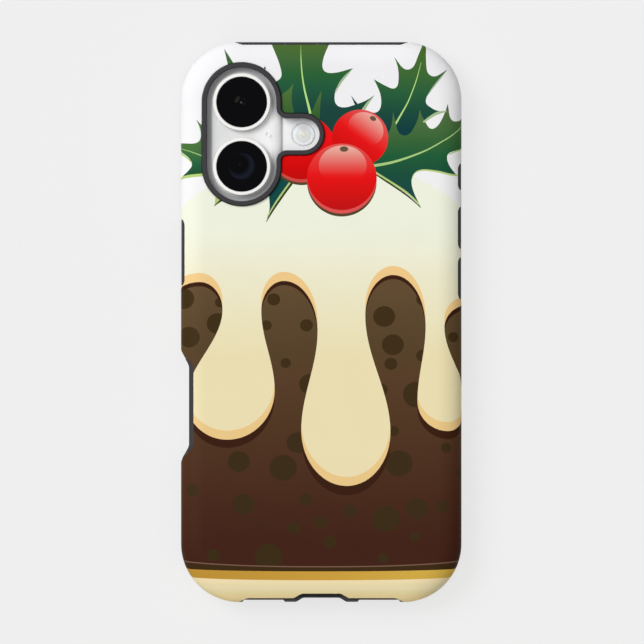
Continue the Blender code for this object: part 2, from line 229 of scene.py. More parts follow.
# How finely everything is drawn, and how far a cutter reaches past what it cuts.
STEP = 0.4
CORNER_COUNT = 56
SMALL_COUNT = 12
WINDOW_COUNTS = (16, 80)
LEAST_ARC = 6
LEAST_CURVE = 4
STRIP_COUNT = 60
PROFILE_STEPS = 180
EDGE_STEPS = 24
SHARP_ANGLE = math.radians(38)
TINY = 1e-3
EPSILON = 1e-5
CHUNK = 500
LEAST_MITRE = 0.5
FACING_DOWN = -0.9
ROUND_ANGLES = (0, 30, 60)
CONTOURS = np.linspace(0.4, 13.6, 23)
CLEAR = 3.0

# The print: how far its plane shows and reaches, and the sizes of the pudding, plate and berries.
SHOWN_HALF_X = 36.0
PAST_X = 60.0
PAST_Y = 95.0
SWAY = 0.355
ROUNDNESS = 0.552
SAUCE_TOP = 22.0
FIELD_OVERLAP = 1.0
TAN_WIDTH = 2.45
SHADOW_DROP = 1.42
SHADOW_STRETCH = 1.0245
DOME_HALF_X = 41.0
DOME_RISE = 20.0
DOME_Y = 23.2
DOME_ANGLES = (20, 160)
SUNWARD = (0.587, 0.81, 0)
SHINE_TILT = -36
BERRY_SHADOW_INSET = 0.05
# A berry: its middle and radius, and how far its pale rim and its shadow show below it.
BERRIES = ((-5.2, 46.8, 9.1, 0.85, 0.75), (10.5, 49.8, 7.6, 0, 0.1), (5.55, 38.75, 9.45, 0.95, 0.85))
PLATE_Y = -66.3
PLATE_BOW = 1.25
LINE_WIDTH = 0.3
SHADE_Y = -67.4
SHADE_BOW = 0.55
GOLD_Y = -69.8
GOLD_BOW = 0.68
BOW_POWER = 2.5
FRUIT_WIDTH = 1.06
# Pieces of fruit by their radius.
FRUIT = {
    1.35: (
        (-27.3, 5.3), (-14.8, -0.9), (-9.6, -11.1), (35.7, -4.1), (19.55, -29.5), (33.8, -34.0),
        (38.1, -40.7), (25.35, -58.0), (16.8, -63.8),
    ),
    1.65: (
        (-12.85, 6.1), (-4.0, -0.9), (18.8, -11.3), (27.4, 6.1), (27.4, -9.1), (-34.7, -45.5),
        (-4.3, -48.0), (-7.4, -55.7), (-0.2, -54.0), (-29.1, -63.0), (7.8, -51.0), (32.6, -49.9),
        (2.4, -59.5), (16.2, -18.3),
    ),
    2.8: (
        (-37.3, 6.3), (-28.0, -0.4), (-35.8, -4.1), (-3.0, -16.8), (-6.4, -32.6), (17.0, 1.5),
        (19.35, -6.15), (-22.3, -37.7), (-21.0, -49.3), (25.9, -50.3), (42.3, -57.0), (-42.0, -38.0),
    ),
    3.5: (
        (25.8, -19.6), (21.0, -38.2), (-10.3, -39.4), (-14.2, -63.4), (17.5, -53.1), (-43.0, -55.5),
    ),
}

# How the studio's light shows a colour on the flat of the case, and how glossy the print is.
LIT = 0.955
SHEEN = 0.0028
DARKEST = 0.001
BRIGHTEST = 0.97
PRINT_ROUGHNESS = (0.4, 0.5)
PRINT_GRAIN = 0.12
PRINT_RELIEF = 0.002
PRINT_MOTTLE = 0.008
PRINT_SPECULAR = 0.04

# The noise in every finish, and the shader's inputs by the names that they have here.
FINE_DETAIL = 3.0
BROAD_DETAIL = 2.0
BROAD_GRAIN = 9.0
NOISE_MIDDLE = (0.3, 0.7)
SOCKETS = {
    "metallic": "Metallic", "specular": "Specular IOR Level", "coat": "Coat Weight",
    "glow": "Emission Strength", "glow_colour": "Emission Color",
}


# Outlines: arrays of (x, y) points in millimetres.
def arc(x, y, radius, start, end, count=None):
    """Points on an arc from the start angle to the end angle, in degrees, both ends included."""
    if count is None:
        count = max(LEAST_ARC, math.ceil(radius * math.radians(abs(end - start)) / STEP))
    angles = np.radians(np.linspace(start, end, count + 1))
    return np.column_stack((x + radius * np.cos(angles), y + radius * np.sin(angles)))


def ellipse(x, y, radius, squeeze=1.0, tilt=0.0):
    """A circle, or an ellipse whose second radius is squeeze times its first, turned by tilt."""
    round_points = arc(0, 0, radius, 0, 360)[:-1] * (1, squeeze)
    turn = math.radians(tilt)
    across = (math.cos(turn), math.sin(turn))
    up = (-math.sin(turn), math.cos(turn))
    return round_points @ np.array((across, up)) + (x, y)


def rounded_rect(half_x, half_y, radius, centre=(0, 0), count=None):
    """A rectangle with round corners, each of count sides. Outlines of one loft share a count."""
    parts = []
    for quarter, (side_x, side_y) in enumerate(((1, 1), (-1, 1), (-1, -1), (1, -1))):
        corner = (side_x * (half_x - radius), side_y * (half_y - radius))
        parts.append(arc(*corner, radius, 90 * quarter, 90 * (quarter + 1), count))
    return without_repeats(np.vstack(parts)) + centre


def without_repeats(points):
    """The points, leaving out each one that lies on the point before it."""
    gaps = np.linalg.norm(points - np.roll(points, 1, axis=0), axis=1)
    return points[gaps > TINY]


def dip(half_flat, slope, depth, clear):
    """An outline open to +y: flat at -depth, rising over smooth slopes to 0, then on to clear."""
    shares = np.linspace(0, 1, math.ceil(slope / STEP) + 1)
    right = np.column_stack((half_flat + slope * shares, -depth * (1 - shares**2 * (3 - 2 * shares))))
    mouth = half_flat + slope
    return np.vstack((right, [(mouth, clear), (-mouth, clear)], right[::-1] * (-1, 1)))


def hump(sizes, top, low, grow=0.0):
    """An outline, moved outwards by grow, that is flat at its top and falls over its slopes."""
    half_flat, slope, drop = sizes
    outline = dip(half_flat + grow, slope, drop, top + grow - drop - low)
    return np.array((0, top + grow - drop)) - outline


def camera_outline(grow):
    """The camera window's outline, moved outwards by grow: a tall pill with a lobe to the right."""
    pill = WINDOW_LENS_RADIUS + grow
    lobe = WINDOW_FLASH_RADIUS + grow
    fillet = WINDOW_FILLET - grow
    fillet_x = LENS_X + pill + fillet
    small, large = WINDOW_COUNTS
    return without_repeats(
        np.vstack((
            arc(FLASH_X, CAMERA_Y, lobe, -90, 90, small * 2),
            arc(fillet_x, CAMERA_Y + lobe + fillet, fillet, 270, 180, small),
            arc(LENS_X, CAMERA_Y + LENS_RISE, pill, 0, 180, large),
            arc(LENS_X, CAMERA_Y - LENS_RISE, pill, 180, 360, large),
            arc(fillet_x, CAMERA_Y - lobe - fillet, fillet, 180, 90, small),
        ))
    )


def spline(knots, step=STEP):
    """A smooth curve through the knots: a natural cubic spline over the length of its chords."""
    knots = np.array(knots, float)
    spans = np.linalg.norm(np.diff(knots, axis=0), axis=1)
    place = np.concatenate(([0.0], np.cumsum(spans)))
    count = len(knots)
    system = np.eye(count)
    wanted = np.zeros((count, 2))
    for k in range(1, count - 1):
        before, after = spans[k - 1], spans[k]
        system[k, k - 1 : k + 2] = before, 2 * (before + after), after
        slopes = (knots[k + 1] - knots[k]) / after - (knots[k] - knots[k - 1]) / before
        wanted[k] = 6 * slopes
    bend = np.linalg.solve(system, wanted)
    along = np.linspace(0, place[-1], max(2, math.ceil(place[-1] / step)) + 1)
    k = np.clip(np.searchsorted(place, along, side="right") - 1, 0, count - 2)
    span = spans[k][:, None]
    right = (along - place[k])[:, None]
    left = span - right
    curve = (bend[k] * left**3 + bend[k + 1] * right**3) / (6 * span)
    curve += (knots[k] / span - bend[k] * span / 6) * left
    return curve + (knots[k + 1] / span - bend[k + 1] * span / 6) * right


def spiky(start, *runs):
    """An outline of smooth runs that meet at points, as a holly leaf's do at its spines.

    The first run goes on from start, and each other one from the last point of the run before.
    """
    parts = []
    for run in runs:
        parts.append(spline([start, *run]))
        start = run[-1]
    return without_repeats(np.vstack(parts))


def ribbon(knots, *widths):
    """A strip along a smooth curve, with these widths at even stations from end to end."""
    line = spline(knots)
    along = np.linspace(0, 1, len(line))
    half = np.interp(along, np.linspace(0, 1, len(widths)), widths)[:, None] / 2
    way = np.gradient(line, axis=0)
    side = np.column_stack((-way[:, 1], way[:, 0])) / np.linalg.norm(way, axis=1)[:, None]
    return without_repeats(np.vstack((line - side * half, (line + side * half)[::-1])))


# The case's outside, and the plane of the print over it.
def case_profile():
    """The case's edge from the flat outwards and down, as columns.

    They are the run in the print's plane, the offset outwards, the height, and the lean of the
    surface outwards and upwards.
    """
    angle = np.radians(np.linspace(0, 90, PROFILE_STEPS + 1))
    offset = EDGE_X * np.sin(angle)
    height = CASE_TOP - EDGE_Z * (1 - np.cos(angle))
    length = np.concatenate(([0.0], np.cumsum(np.hypot(np.diff(offset), np.diff(height)))))
    fold = EDGE_X - PLAN_INSET
    run = np.where(offset < fold, offset, fold + length - np.interp(fold, offset, length))
    lean = np.column_stack((np.sin(angle) / EDGE_X, np.cos(angle) / EDGE_Z))
    edge = np.column_stack((run, offset, height, lean / np.linalg.norm(lean, axis=1)[:, None]))
    drop = height[-1] + CLEAR
    return np.vstack((edge, (run[-1] + drop, EDGE_X, height[-1] - drop, 1, 0)))


PROFILE = case_profile()


def run_at_height(height):
    return np.interp(-np.asarray(height), -PROFILE[:, 2], PROFILE[:, 0])


def run_at_inset(inset):
    return np.interp(EDGE_X - np.asarray(inset), PROFILE[:-1, 1], PROFILE[:-1, 0])


def on_case(points):
    """Where print points lie on the case, the way out of it, and the ways in it outwards and along."""
    core = np.clip(points, -CORE, CORE)
    away = points - core
    distance = np.linalg.norm(away, axis=1)
    outward = np.where(distance[:, None] > TINY, away / np.maximum(distance, TINY)[:, None], (1, 0))
    run = np.maximum(distance - FLAT_RADIUS, 0)
    offset, height, lean_out, lean_up = (np.interp(run, PROFILE[:, 0], c) for c in PROFILE.T[1:])
    plan = core + np.where(distance[:, None] > TINY, outward, 0) * (
        np.minimum(distance, FLAT_RADIUS) + offset
    )[:, None]
    level = np.hypot(lean_out, lean_up)
    lean_out, lean_up = lean_out / level, lean_up / level
    place = np.column_stack((plan, height))
    normal = np.column_stack((outward * lean_out[:, None], lean_up))
    down = np.column_stack((outward * lean_up[:, None], -lean_out))
    along = np.column_stack((-outward[:, 1], outward[:, 0], np.zeros(len(points))))
    return place, normal, down, along


def from_side(outline, side):
    """Print points of an outline of (y, height) points in the case's left or right side."""
    return np.column_stack((side * (FLAT_HALF_X + run_at_height(outline[:, 1])), outline[:, 0]))


def from_end(outline, side):
    """Print points of an outline of (x, height) points seen from the case's top or bottom end."""
    run = run_at_height(outline[:, 1])
    offset = np.interp(run, PROFILE[:, 0], PROFILE[:, 1])
    past = np.abs(outline[:, 0]) - CORE[0]
    turn = np.arcsin(np.clip(past / (FLAT_RADIUS + offset), 0, 1))
    radius = FLAT_RADIUS + run
    x = np.where(past > 0, np.sign(outline[:, 0]) * (CORE[0] + radius * np.sin(turn)), outline[:, 0])
    return np.column_stack((x, side * (CORE[1] + radius * np.cos(turn))))


def fine(outline, step=STEP):
    """The outline with more points along its long stretches."""
    parts = []
    for start, end in zip(outline, np.roll(outline, -1, axis=0)):
        count = max(1, math.ceil(np.linalg.norm(end - start) / step))
        parts.append(start + (end - start) * np.arange(count)[:, None] / count)
    return np.vstack(parts)


def anticlockwise(outline):
    x, y = outline.T
    area = np.sum(x * np.roll(y, -1) - np.roll(x, -1) * y)
    return outline if area > 0 else outline[::-1]


def cover_outlines(grow):
    """The button covers' outlines in the print's plane, moved outwards by grow."""
    half_z, middle_z = (COVER_TOP - COVER_LOW) / 2, (COVER_TOP + COVER_LOW) / 2
    outlines = []
    for side, covers in ((1, RIGHT_COVERS), (-1, LEFT_COVERS)):
        for middle, length in covers:
            half = (length / 2 + grow, half_z + grow)
            outline = rounded_rect(*half, COVER_ROUND + grow, (middle, middle_z))
            outlines.append(from_side(outline, side))
    return outlines


def band_outlines(grow, low):
    """The end bands' outlines in the print's plane, moved outwards by grow, from the height low."""
    return [
        from_end(fine(hump(TOP_BAND, TOP_BAND_Z, low, grow)), 1),
        from_end(fine(hump(BOTTOM_BAND, BOTTOM_BAND_Z, low, grow)), -1),
    ]


def notch_outline():
    """The shell's finger notch in the print's plane, open to the left."""
    slopes = dip(NOTCH_FLAT, NOTCH_SLOPE, SHELL_NOTCH_DEPTH, 0)
    slopes = slopes[slopes[:, 1] < -TINY]
    edge = np.column_stack((-FLAT_HALF_X - run_at_inset(-slopes[:, 1]), slopes[:, 0]))
    edge = edge[np.argsort(edge[:, 1])]
    mouth = NOTCH_FLAT + NOTCH_SLOPE
    near, far = -FLAT_HALF_X - run_at_inset(0), -FLAT_HALF_X - PROFILE[-1, 0]
    low_side = [(far, -mouth), (near, -mouth)]
    high_side = [(near, mouth), (far, mouth)]
    return np.vstack((low_side, edge, high_side)) + (0, NOTCH_Y)


def shell_holes():
    """The print outlines of everything that is cut from the shell."""
    scoop = from_end(fine(hump(SHELL_SCOOP, SHELL_SCOOP_Z, -CLEAR)), -1)
    window = camera_outline(RIM_WIDTH + RIM_GAP)
    return [window, *cover_outlines(GAP), *band_outlines(GAP, -CLEAR), scoop, notch_outline()]


def added(name, data):
    """A new object in the scene with this mesh, light or camera."""
    made = bpy.data.objects.new(name, data)
    bpy.context.collection.objects.link(made)
    return made


# Sheets that lie on the case, cut from the print's plane.
def triangulate(outlines, lines=()):
    """Triangles over all the outlines, kept apart by them and by the closed lines.

    Returned are the points, the triangles, and for each triangle the outlines that it is in.
    """
    points, edges, faces = [], [], []
    for number, outline in enumerate([*outlines, *lines]):
        ring = list(range(len(points), len(points) + len(outline)))
        points += [Vector(point) for point in outline]
        if number < len(outlines):
            faces.append(ring)
        else:
            edges += list(zip(ring, ring[1:] + ring[:1]))
    found = delaunay_2d_cdt(points, edges, faces, 1, EPSILON, True)
    return np.array([point[:] for point in found[0]]), np.array(found[2]), found[5]


def within(members, wanted, unwanted):
    """Which triangles are in every wanted outline and in no unwanted one."""
    wanted, unwanted = set(wanted), set(unwanted)
    return np.array([wanted <= set(m) and not unwanted & set(m) for m in members])


def rim_edges(triangles):
    """The directed edges that only one triangle has, with the sheet to their left."""
    edges = np.vstack([triangles[:, (k, (k + 1) % 3)] for k in range(3)])
    there = set(map(tuple, edges.tolist()))
    return np.array([edge for edge in edges.tolist() if (edge[1], edge[0]) not in there])


def left_of(starts, ends):
    ahead = ends - starts
    return np.column_stack((-ahead[:, 1], ahead[:, 0])) / np.linalg.norm(ahead, axis=1)[:, None]


def inner_lines(points, edges, distances):
    """Closed lines beside the rim's loops, at these distances inside the sheet."""
    following = dict(edges.tolist())
    lines = []
    while following:
        start, at = following.popitem()
        loop = [start]
        while at != start:
            loop.append(at)
            at = following.pop(at)
        ring = without_repeats(points[loop])
        ahead = left_of(ring, np.roll(ring, -1, axis=0))
        behind = np.roll(ahead, 1, axis=0)
        spread = np.maximum(1 + np.sum(ahead * behind, axis=1), LEAST_MITRE)
        mitre = (ahead + behind) / spread[:, None]
        lines += [ring + mitre * distance for distance in distances]
    return lines


def to_rim(points, edges, most):
    """How far each point is from the rim, up to the most that matters, and the way there."""
    starts, ends = points[edges[:, 0]], points[edges[:, 1]]
    spans = ends - starts
    lengths = np.sum(spans**2, axis=1)
    distance = np.full(len(points), most)
    way = np.zeros((len(points), 2))
    for first in range(0, len(points), CHUNK):
        some = points[first : first + CHUNK, None]
        share = np.clip(np.sum((some - starts) * spans, axis=2) / lengths, 0, 1)
        gap = starts + share[:, :, None] * spans - some
        gaps = np.linalg.norm(gap, axis=2)
        nearest = np.argmin(gaps, axis=1)
        row = np.arange(len(nearest))
        distance[first : first + CHUNK] = np.minimum(gaps[row, nearest], most)
        way[first : first + CHUNK] = gap[row, nearest]
    outward = np.zeros((len(points), 2))
    for end in (0, 1):
        np.add.at(outward, edges[:, end], -left_of(starts, ends))
    on_rim = np.any(outward != 0, axis=1)
    way[on_rim] = outward[on_rim]
    return distance, way / np.maximum(np.linalg.norm(way, axis=1), TINY)[:, None]


def flat(height):
    """A level surface at this height, in the form of on_case."""
    def on_flat(points):
        count = len(points)
        ways = (np.tile(way, (count, 1)) for way in ((0.0, 0, 1), (1.0, 0, 0), (0.0, 1, 0)))
        return np.column_stack((points, np.full(count, height))), *ways

    return on_flat


def painted_triangles(cuts, fields, lines=()):
    """Triangles over the first cut and not over the rest, each with the number of its field.

    Returned are the points, the triangles, and the numbers, which are 0 where there is no field.
    """
    painted = [anticlockwise(field[1]) for field in fields]
    clips = [anticlockwise(clip) for field in fields for clip in field[2:]]
    plane, triangles, members = triangulate([*cuts, *painted, *clips], lines)
    numbers = np.zeros(len(triangles), int)
    clip = len(cuts) + len(painted)
    for number, field in enumerate(fields):
        wanted = {len(cuts) + number}
        if field[2:]:
            wanted.add(clip)
            clip += 1
        numbers[within(members, wanted, ())] = number + 1
    keep = within(members, {0}, range(1, len(cuts)))
    used, triangles = np.unique(triangles[keep], return_inverse=True)
    return plane[used], triangles.reshape(-1, 3), numbers[keep]


def sheet(name, outline, holes, fields, back, depth, thickness, edge_round, surface_of=on_case):
    """A closed sheet on the case, this deep under its outside, with rounded outer edges.

    Each field is a finish, its outline and, for some, an outline that it stays inside. A later
    field covers the earlier ones, and back is the finish of the rest, the edges and the inside.
    """
    cuts = [anticlockwise(o) for o in (outline, *holes)]
    plane, triangles, _ = painted_triangles(cuts, ())
    distances = [edge_round * (1 - math.sin(math.radians(angle))) for angle in ROUND_ANGLES]
    lines = inner_lines(plane, rim_edges(triangles), distances)
    if surface_of is on_case:
        lines += [rounded_rect(*(CORE + FLAT_RADIUS + run), FLAT_RADIUS + run) for run in CONTOURS]
    plane, triangles, numbers = painted_triangles(cuts, fields, lines)

    rim = rim_edges(triangles)
    distance, way = to_rim(plane, rim, edge_round)
    place, normal, down, along = surface_of(plane)
    radial = np.column_stack((along[:, 1], -along[:, 0]))
    aside = np.sum(way * radial, axis=1)[:, None] * down
    aside += np.sum(way * along[:, :2], axis=1)[:, None] * along
    sine = 1 - distance[:, None] / edge_round
    cosine = np.sqrt(1 - sine**2)
    top = place - normal * (depth + edge_round * (1 - cosine))
    bottom = place - normal * (depth + thickness)
    count = len(plane)
    walls = np.column_stack((rim[:, 0], rim[:, 0] + count, rim[:, 1] + count, rim[:, 1]))
    loop_normals = np.vstack((
        (normal * cosine + aside * sine)[triangles.ravel()],
        -normal[triangles[:, ::-1].ravel()],
        aside[(walls % count).ravel()],
    ))

    mesh = bpy.data.meshes.new(name)
    faces = [*triangles.tolist(), *(triangles[:, ::-1] + count).tolist(), *walls.tolist()]
    mesh.from_pydata(np.vstack((top, bottom)) * MM, [], faces)
    finishes = [back, *(field[0] for field in fields)]
    for finish in finishes:
        if finish.name not in mesh.materials:
            mesh.materials.append(finish)
    slots = np.array([mesh.materials.find(finish.name) for finish in finishes])
    indices = np.zeros(len(faces), int)
    indices[: len(numbers)] = slots[numbers]
    mesh.polygons.foreach_set("material_index", indices)
    mesh.shade_smooth()
    mesh.normals_split_custom_set(loop_normals)
    return added(name, mesh)


# Solids, in millimetres.
def loft(name, layers, finish=None, along="Z", ring=False):
    """A solid through layers, each an outline and its height along the named axis.

    The ends are filled, or with ring set the last layer is joined to the first.
    """
    order = {"X": (2, 0, 1), "Y": (0, 2, 1), "Z": (0, 1, 2)}[along]
    bm = bmesh.new()
    loops = []
    for outline, height in layers:
        points = np.column_stack((outline, np.full(len(outline), height)))[:, order] * MM
        loops.append([bm.verts.new(point) for point in points])
    for low, high in zip(loops, loops[1:] + loops[:1] if ring else loops[1:]):
        for k in range(len(low)):
            bm.faces.new((low[k - 1], low[k], high[k], high[k - 1]))
    if not ring:
        bm.faces.new(loops[0])
        bm.faces.new(loops[-1])
    bmesh.ops.recalc_face_normals(bm, faces=bm.faces)
    mesh = bpy.data.meshes.new(name)
    bm.to_mesh(mesh)
    bm.free()
    if finish:
        mesh.materials.append(finish)
    return added(name, mesh)


def prism(name, outline, low, high, along="Z"):
    return loft(name, [(outline, low), (outline, high)], along=along)


def round_ended(name, half, centre, low, high, along):
    """A prism with round ends, from half its length and half its width."""
    return prism(name, rounded_rect(*half, half[1], centre), low, high, along)


def turned(points, quarters):
    """An outline turned anticlockwise about the origin by whole quarters."""
    for _ in range(quarters):
        points = np.column_stack((-points[:, 1], points[:, 0]))
    return points


def combine(target, operation, *others):
    """Apply a Boolean to the target with each of the others, and remove those."""
    for other in others:
        modifier = target.modifiers.new(other.name, "BOOLEAN")
        modifier.operation = operation
        modifier.solver = "EXACT"
        modifier.object = other
    graph = bpy.context.evaluated_depsgraph_get()
    mesh = bpy.data.meshes.new_from_object(target.evaluated_get(graph))
    target.modifiers.clear()
    target.data = mesh
    for other in others:
        bpy.data.objects.remove(other)


def shaded(made):
    """Smooth shading that stops at real edges and keeps the flats flat."""
    made.data.shade_smooth()
    made.data.set_sharp_from_angle(angle=SHARP_ANGLE)
    made.modifiers.new("even shading", "WEIGHTED_NORMAL").keep_sharp = True
    return made


def quarter_round(radius, grow=0.0, steps=6):
    """(inset, rise) pairs round a convex edge of this radius, moved outwards by grow."""
    angles = np.radians(np.linspace(0, 90, steps + 1))
    return [(radius - (radius + grow) * math.cos(a), (radius + grow) * math.sin(a)) for a in angles]


def case_outline(inset):
    half = (CASE_HALF_X - inset, CASE_HALF_Y - inset)
    return rounded_rect(*half, CASE_CORNER - inset, count=CORNER_COUNT)


def case_body(name, depth, foot, finish=None):
    """The case's outer form, moved inwards by depth, from the height foot up to its back."""
    layers = [(case_outline(depth), foot)]
    for angle in np.radians(np.linspace(0, 90, EDGE_STEPS + 1)):
        out_x, out_z = math.cos(angle) / EDGE_X, math.sin(angle) / EDGE_Z
        share = depth / math.hypot(out_x, out_z)
        inset = EDGE_X * (1 - math.cos(angle)) + share * out_x
        height = CASE_TOP - EDGE_Z * (1 - math.sin(angle)) - share * out_z
        layers.append((case_outline(inset), height))
    return loft(name, layers, finish)


def phone_slice(name, low, high, grow=0.0, finish=None):
    """The phone's body, moved outwards by grow, between two heights."""
    pairs = [(i, FRONT_Z - rise) for i, rise in reversed(quarter_round(FRONT_ROUND, grow))]
    pairs += [(i, BACK_EDGE_Z + rise) for i, rise in quarter_round(BACK_ROUND, grow)]
    insets, heights = np.array(pairs).T
    between = heights[(heights > low + TINY) & (heights < high - TINY)]
    layers = []
    for height in (low, *between, high):
        inset = np.interp(height, heights, insets)
        half = (PHONE_HALF_X - inset, PHONE_HALF_Y - inset)
        outline = rounded_rect(*half, PHONE_CORNER - inset, count=CORNER_COUNT)
        layers.append((outline, height))
    return loft(name, layers, finish)


def plateau(name, foot, grow=0.0, shoulder=PLATEAU_ROUND):
    """The camera's raised pill, moved outwards by grow, from the height foot."""
    layers = []
    sides = quarter_round(PLATEAU_ROUND, grow, PLATEAU_STEPS)
    for inset, height in [(sides[0][0], foot - PLATEAU_TOP + PLATEAU_ROUND), *sides]:
        radius = PLATEAU_RADIUS - inset * shoulder / PLATEAU_ROUND
        half = (radius, LENS_RISE + radius)
        outline = rounded_rect(*half, radius, (LENS_X, CAMERA_Y), CORNER_COUNT)
        layers.append((outline, PLATEAU_TOP - PLATEAU_ROUND + height))
    return loft(name, layers)


def turning(name, section, centre, finish, ring=False, step=STEP):
    """A solid turned round the vertical through centre, from (radius, height) pairs."""
    widest = max(radius for radius, _ in section)
    count = math.ceil(2 * math.pi * widest / step)
    angles = np.arange(count) * 2 * math.pi / count
    circle = np.column_stack((np.cos(angles), np.sin(angles)))
    return loft(name, [(circle * r + centre, z) for r, z in section], finish, ring=ring)


# Finishes.
def linear(colour):
    """A colour as a screen shows it, from 0 to 255, as amounts of light."""
    share = np.array(colour) / 255
    return np.where(share <= 0.04045, share / 12.92, ((share + 0.055) / 1.055) ** 2.4)


def node(tree, kind, inputs=(), **settings):
    """A shader node, its inputs set to values or joined to other nodes' outputs."""
    made = tree.nodes.new("ShaderNode" + kind)
    for setting, value in settings.items():
        setattr(made, setting, value)
    for socket, value in dict(inputs).items():
        if isinstance(value, bpy.types.NodeSocket):
            tree.links.new(value, made.inputs[socket])
        else:
            made.inputs[socket].default_value = value
    return made


def changed(colours, change):
    """The colour, or each of the colours by their places, as change makes it."""
    if isinstance(colours, dict):
        return {spot: change(colour) for spot, colour in colours.items()}
    return change(colours)


def distance_to(tree, place, centre):
    """How far a place lies from the upright line through centre."""
    level = node(tree, "VectorMath", {0: place, 1: (1, 1, 0)}, operation="MULTIPLY").outputs[0]
    inputs = {0: level, 1: (*(np.array(centre) * MM), 0)}
    return node(tree, "VectorMath", inputs, operation="DISTANCE").outputs["Value"]


def blended(tree, place, colours, way, centre):
    """The output of a ramp through the colours, by their places along way or out from centre."""
    if centre is not None:
        measure = distance_to(tree, place, centre)
    else:
        inputs = {0: place, 1: way}
        measure = node(tree, "VectorMath", inputs, operation="DOT_PRODUCT").outputs["Value"]
    places = sorted(colours)
    first, last = places[0], places[-1]
    span = {"Value": measure, "From Min": first * MM, "From Max": last * MM}
    share = node(tree, "MapRange", span).outputs[0]
    ramp = node(tree, "ValToRGB", {0: share})
    stops = ramp.color_ramp.elements
    for number, spot in enumerate(places):
        position = (spot - first) / (last - first)
        stop = stops.new(position) if 0 < number < len(places) - 1 else stops[-1 if number else 0]
        stop.position = position
        stop.color = (*colours[spot], 1)
    return ramp.outputs[0]


def surface(
    name, colours, roughness, grain, relief, way=(0, 1, 0), centre=None, mottle=0.02,
    painted_light_spot=None, **shader
):
    """A finish whose gloss and relief vary over its grain, and its colour over broad patches.

    colours is one colour, or colours by their places in millimetres along way or out from centre.
    roughness is the least and the most, grain and relief are its size and depth in millimetres,
    and mottle is the share by which the colour varies. The spot of painted light, if any, is a
    middle, a colour, and the radii out to which it is whole and where it has gone.
    """
    made = bpy.data.materials.new(name)
    made.use_nodes = True
    tree = made.node_tree
    principled = tree.nodes["Principled BSDF"]
    for socket, value in shader.items():
        principled.inputs[SOCKETS[socket]].default_value = value
    place = node(tree, "TexCoord").outputs["Object"]
    fine_noise = {"Vector": place, "Scale": 1 / (grain * MM), "Detail": FINE_DETAIL}
    fine_noise = node(tree, "TexNoise", fine_noise).outputs[0]
    broad_noise = {"Vector": place, "Scale": 1 / (BROAD_GRAIN * MM), "Detail": BROAD_DETAIL}
    broad_noise = node(tree, "TexNoise", broad_noise).outputs[0]
    if isinstance(colours, dict):
        plain = colours[min(colours)]
        colour = blended(tree, place, colours, way, centre)
    else:
        plain = colours
        colour = (*colours, 1)
    made.diffuse_color = (*plain, 1)
    # Painted light: the colour is mixed towards a brighter one near the spot's middle.
    if painted_light_spot is not None:
        middle, bright, whole, gone = painted_light_spot
        fade = {"Value": distance_to(tree, place, middle)}
        fade |= {"From Min": whole * MM, "From Max": gone * MM}
        fade = node(tree, "MapRange", fade).outputs[0]
        mix = {0: fade, 6: (*bright, 1), 7: colour}
        colour = node(tree, "Mix", mix, data_type="RGBA").outputs[2]
    shade = {"Value": broad_noise, "From Min": NOISE_MIDDLE[0], "From Max": NOISE_MIDDLE[1]}
    shade |= {"To Min": 1 - mottle, "To Max": 1 + mottle}
    mix = {0: 1.0, 6: colour, 7: node(tree, "MapRange", shade).outputs[0]}
    mix = node(tree, "Mix", mix, data_type="RGBA", blend_type="MULTIPLY", clamp_result=True)
    tree.links.new(mix.outputs[2], principled.inputs["Base Color"])
    gloss = {"Value": fine_noise, "To Min": roughness[0], "To Max": roughness[1]}
    tree.links.new(node(tree, "MapRange", gloss).outputs[0], principled.inputs["Roughness"])
    bump = {"Height": fine_noise, "Distance": relief * MM}
    tree.links.new(node(tree, "Bump", bump).outputs[0], principled.inputs["Normal"])
    return made


def ink(colour):
    """The paint that the studio's light turns into this colour on the flat of the case."""
    return np.clip((linear(colour) - SHEEN) / LIT, DARKEST, BRIGHTEST)


def printed(name, colours, **places):
    """The satin finish of one printed colour, or of colours that blend into each other."""
    return surface(
        f"print_{name}", changed(colours, ink), PRINT_ROUGHNESS, PRINT_GRAIN, PRINT_RELIEF,
        mottle=PRINT_MOTTLE, specular=PRINT_SPECULAR, **places
    )


# The print: fields of colour in painter's order, as sheet takes them.
def bent(start, start_pull, end_pull, end):
    """A cubic curve from start to end, without its end point."""
    count = max(LEAST_CURVE, math.ceil(math.dist(start, end) / STEP))
    share = np.linspace(0, 1, count + 1)[:-1, None]
    rest = 1 - share
    curve = rest**3 * np.array(start) + 3 * rest**2 * share * np.array(start_pull)
    return curve + 3 * rest * share**2 * np.array(end_pull) + share**3 * np.array(end)


def sauce_outline():
    """The poured sauce above the sponge: tongues that run down, with round hollows between.

    Each stretch is (side, tip, side): the two widest places and the turning point between them.
    """
    stretches = (
        ((-52.0, -16.0), (-46.0, -27.0), (-40.2, -16.0)),
        ((-41.5, 4.0), (-32.8, 10.8), (-26.7, 3.3)),
        ((-36.6, -21.0), (-25.4, -31.8), (-12.6, -18.4)),
        ((-16.2, 3.0), (-10.1, 11.1), (-1.0, -2.5)),
        ((-5.4, -29.2), (6.9, -44.3), (18.7, -29.8)),
        ((11.9, 1.8), (19.4, 12.7), (28.2, -1.3)),
        ((26.0, -21.4), (34.4, -29.5), (39.4, -22.2)),
        ((33.3, -1.4), (40.3, 4.7), (47.2, -1.4)),
    )
    runs = []
    before = None
    for first, tip, last in stretches:
        if before:
            pull = SWAY * (first[1] - before[1])
            runs.append(bent(before, (before[0], before[1] + pull), (first[0], first[1] - pull), first))
        for start, end, upright in ((first, tip, True), (tip, last, False)):
            across, rise = ROUNDNESS * (end[0] - start[0]), ROUNDNESS * (end[1] - start[1])
            if upright:
                pulls = (start[0], start[1] + rise), (end[0] - across, end[1])
            else:
                pulls = (start[0] + across, start[1]), (end[0], end[1] - rise)
            runs.append(bent(start, *pulls, end))
        before = last
    return np.vstack((*runs, [before, (PAST_X, 0), (PAST_X, SAUCE_TOP), (-PAST_X, SAUCE_TOP)]))


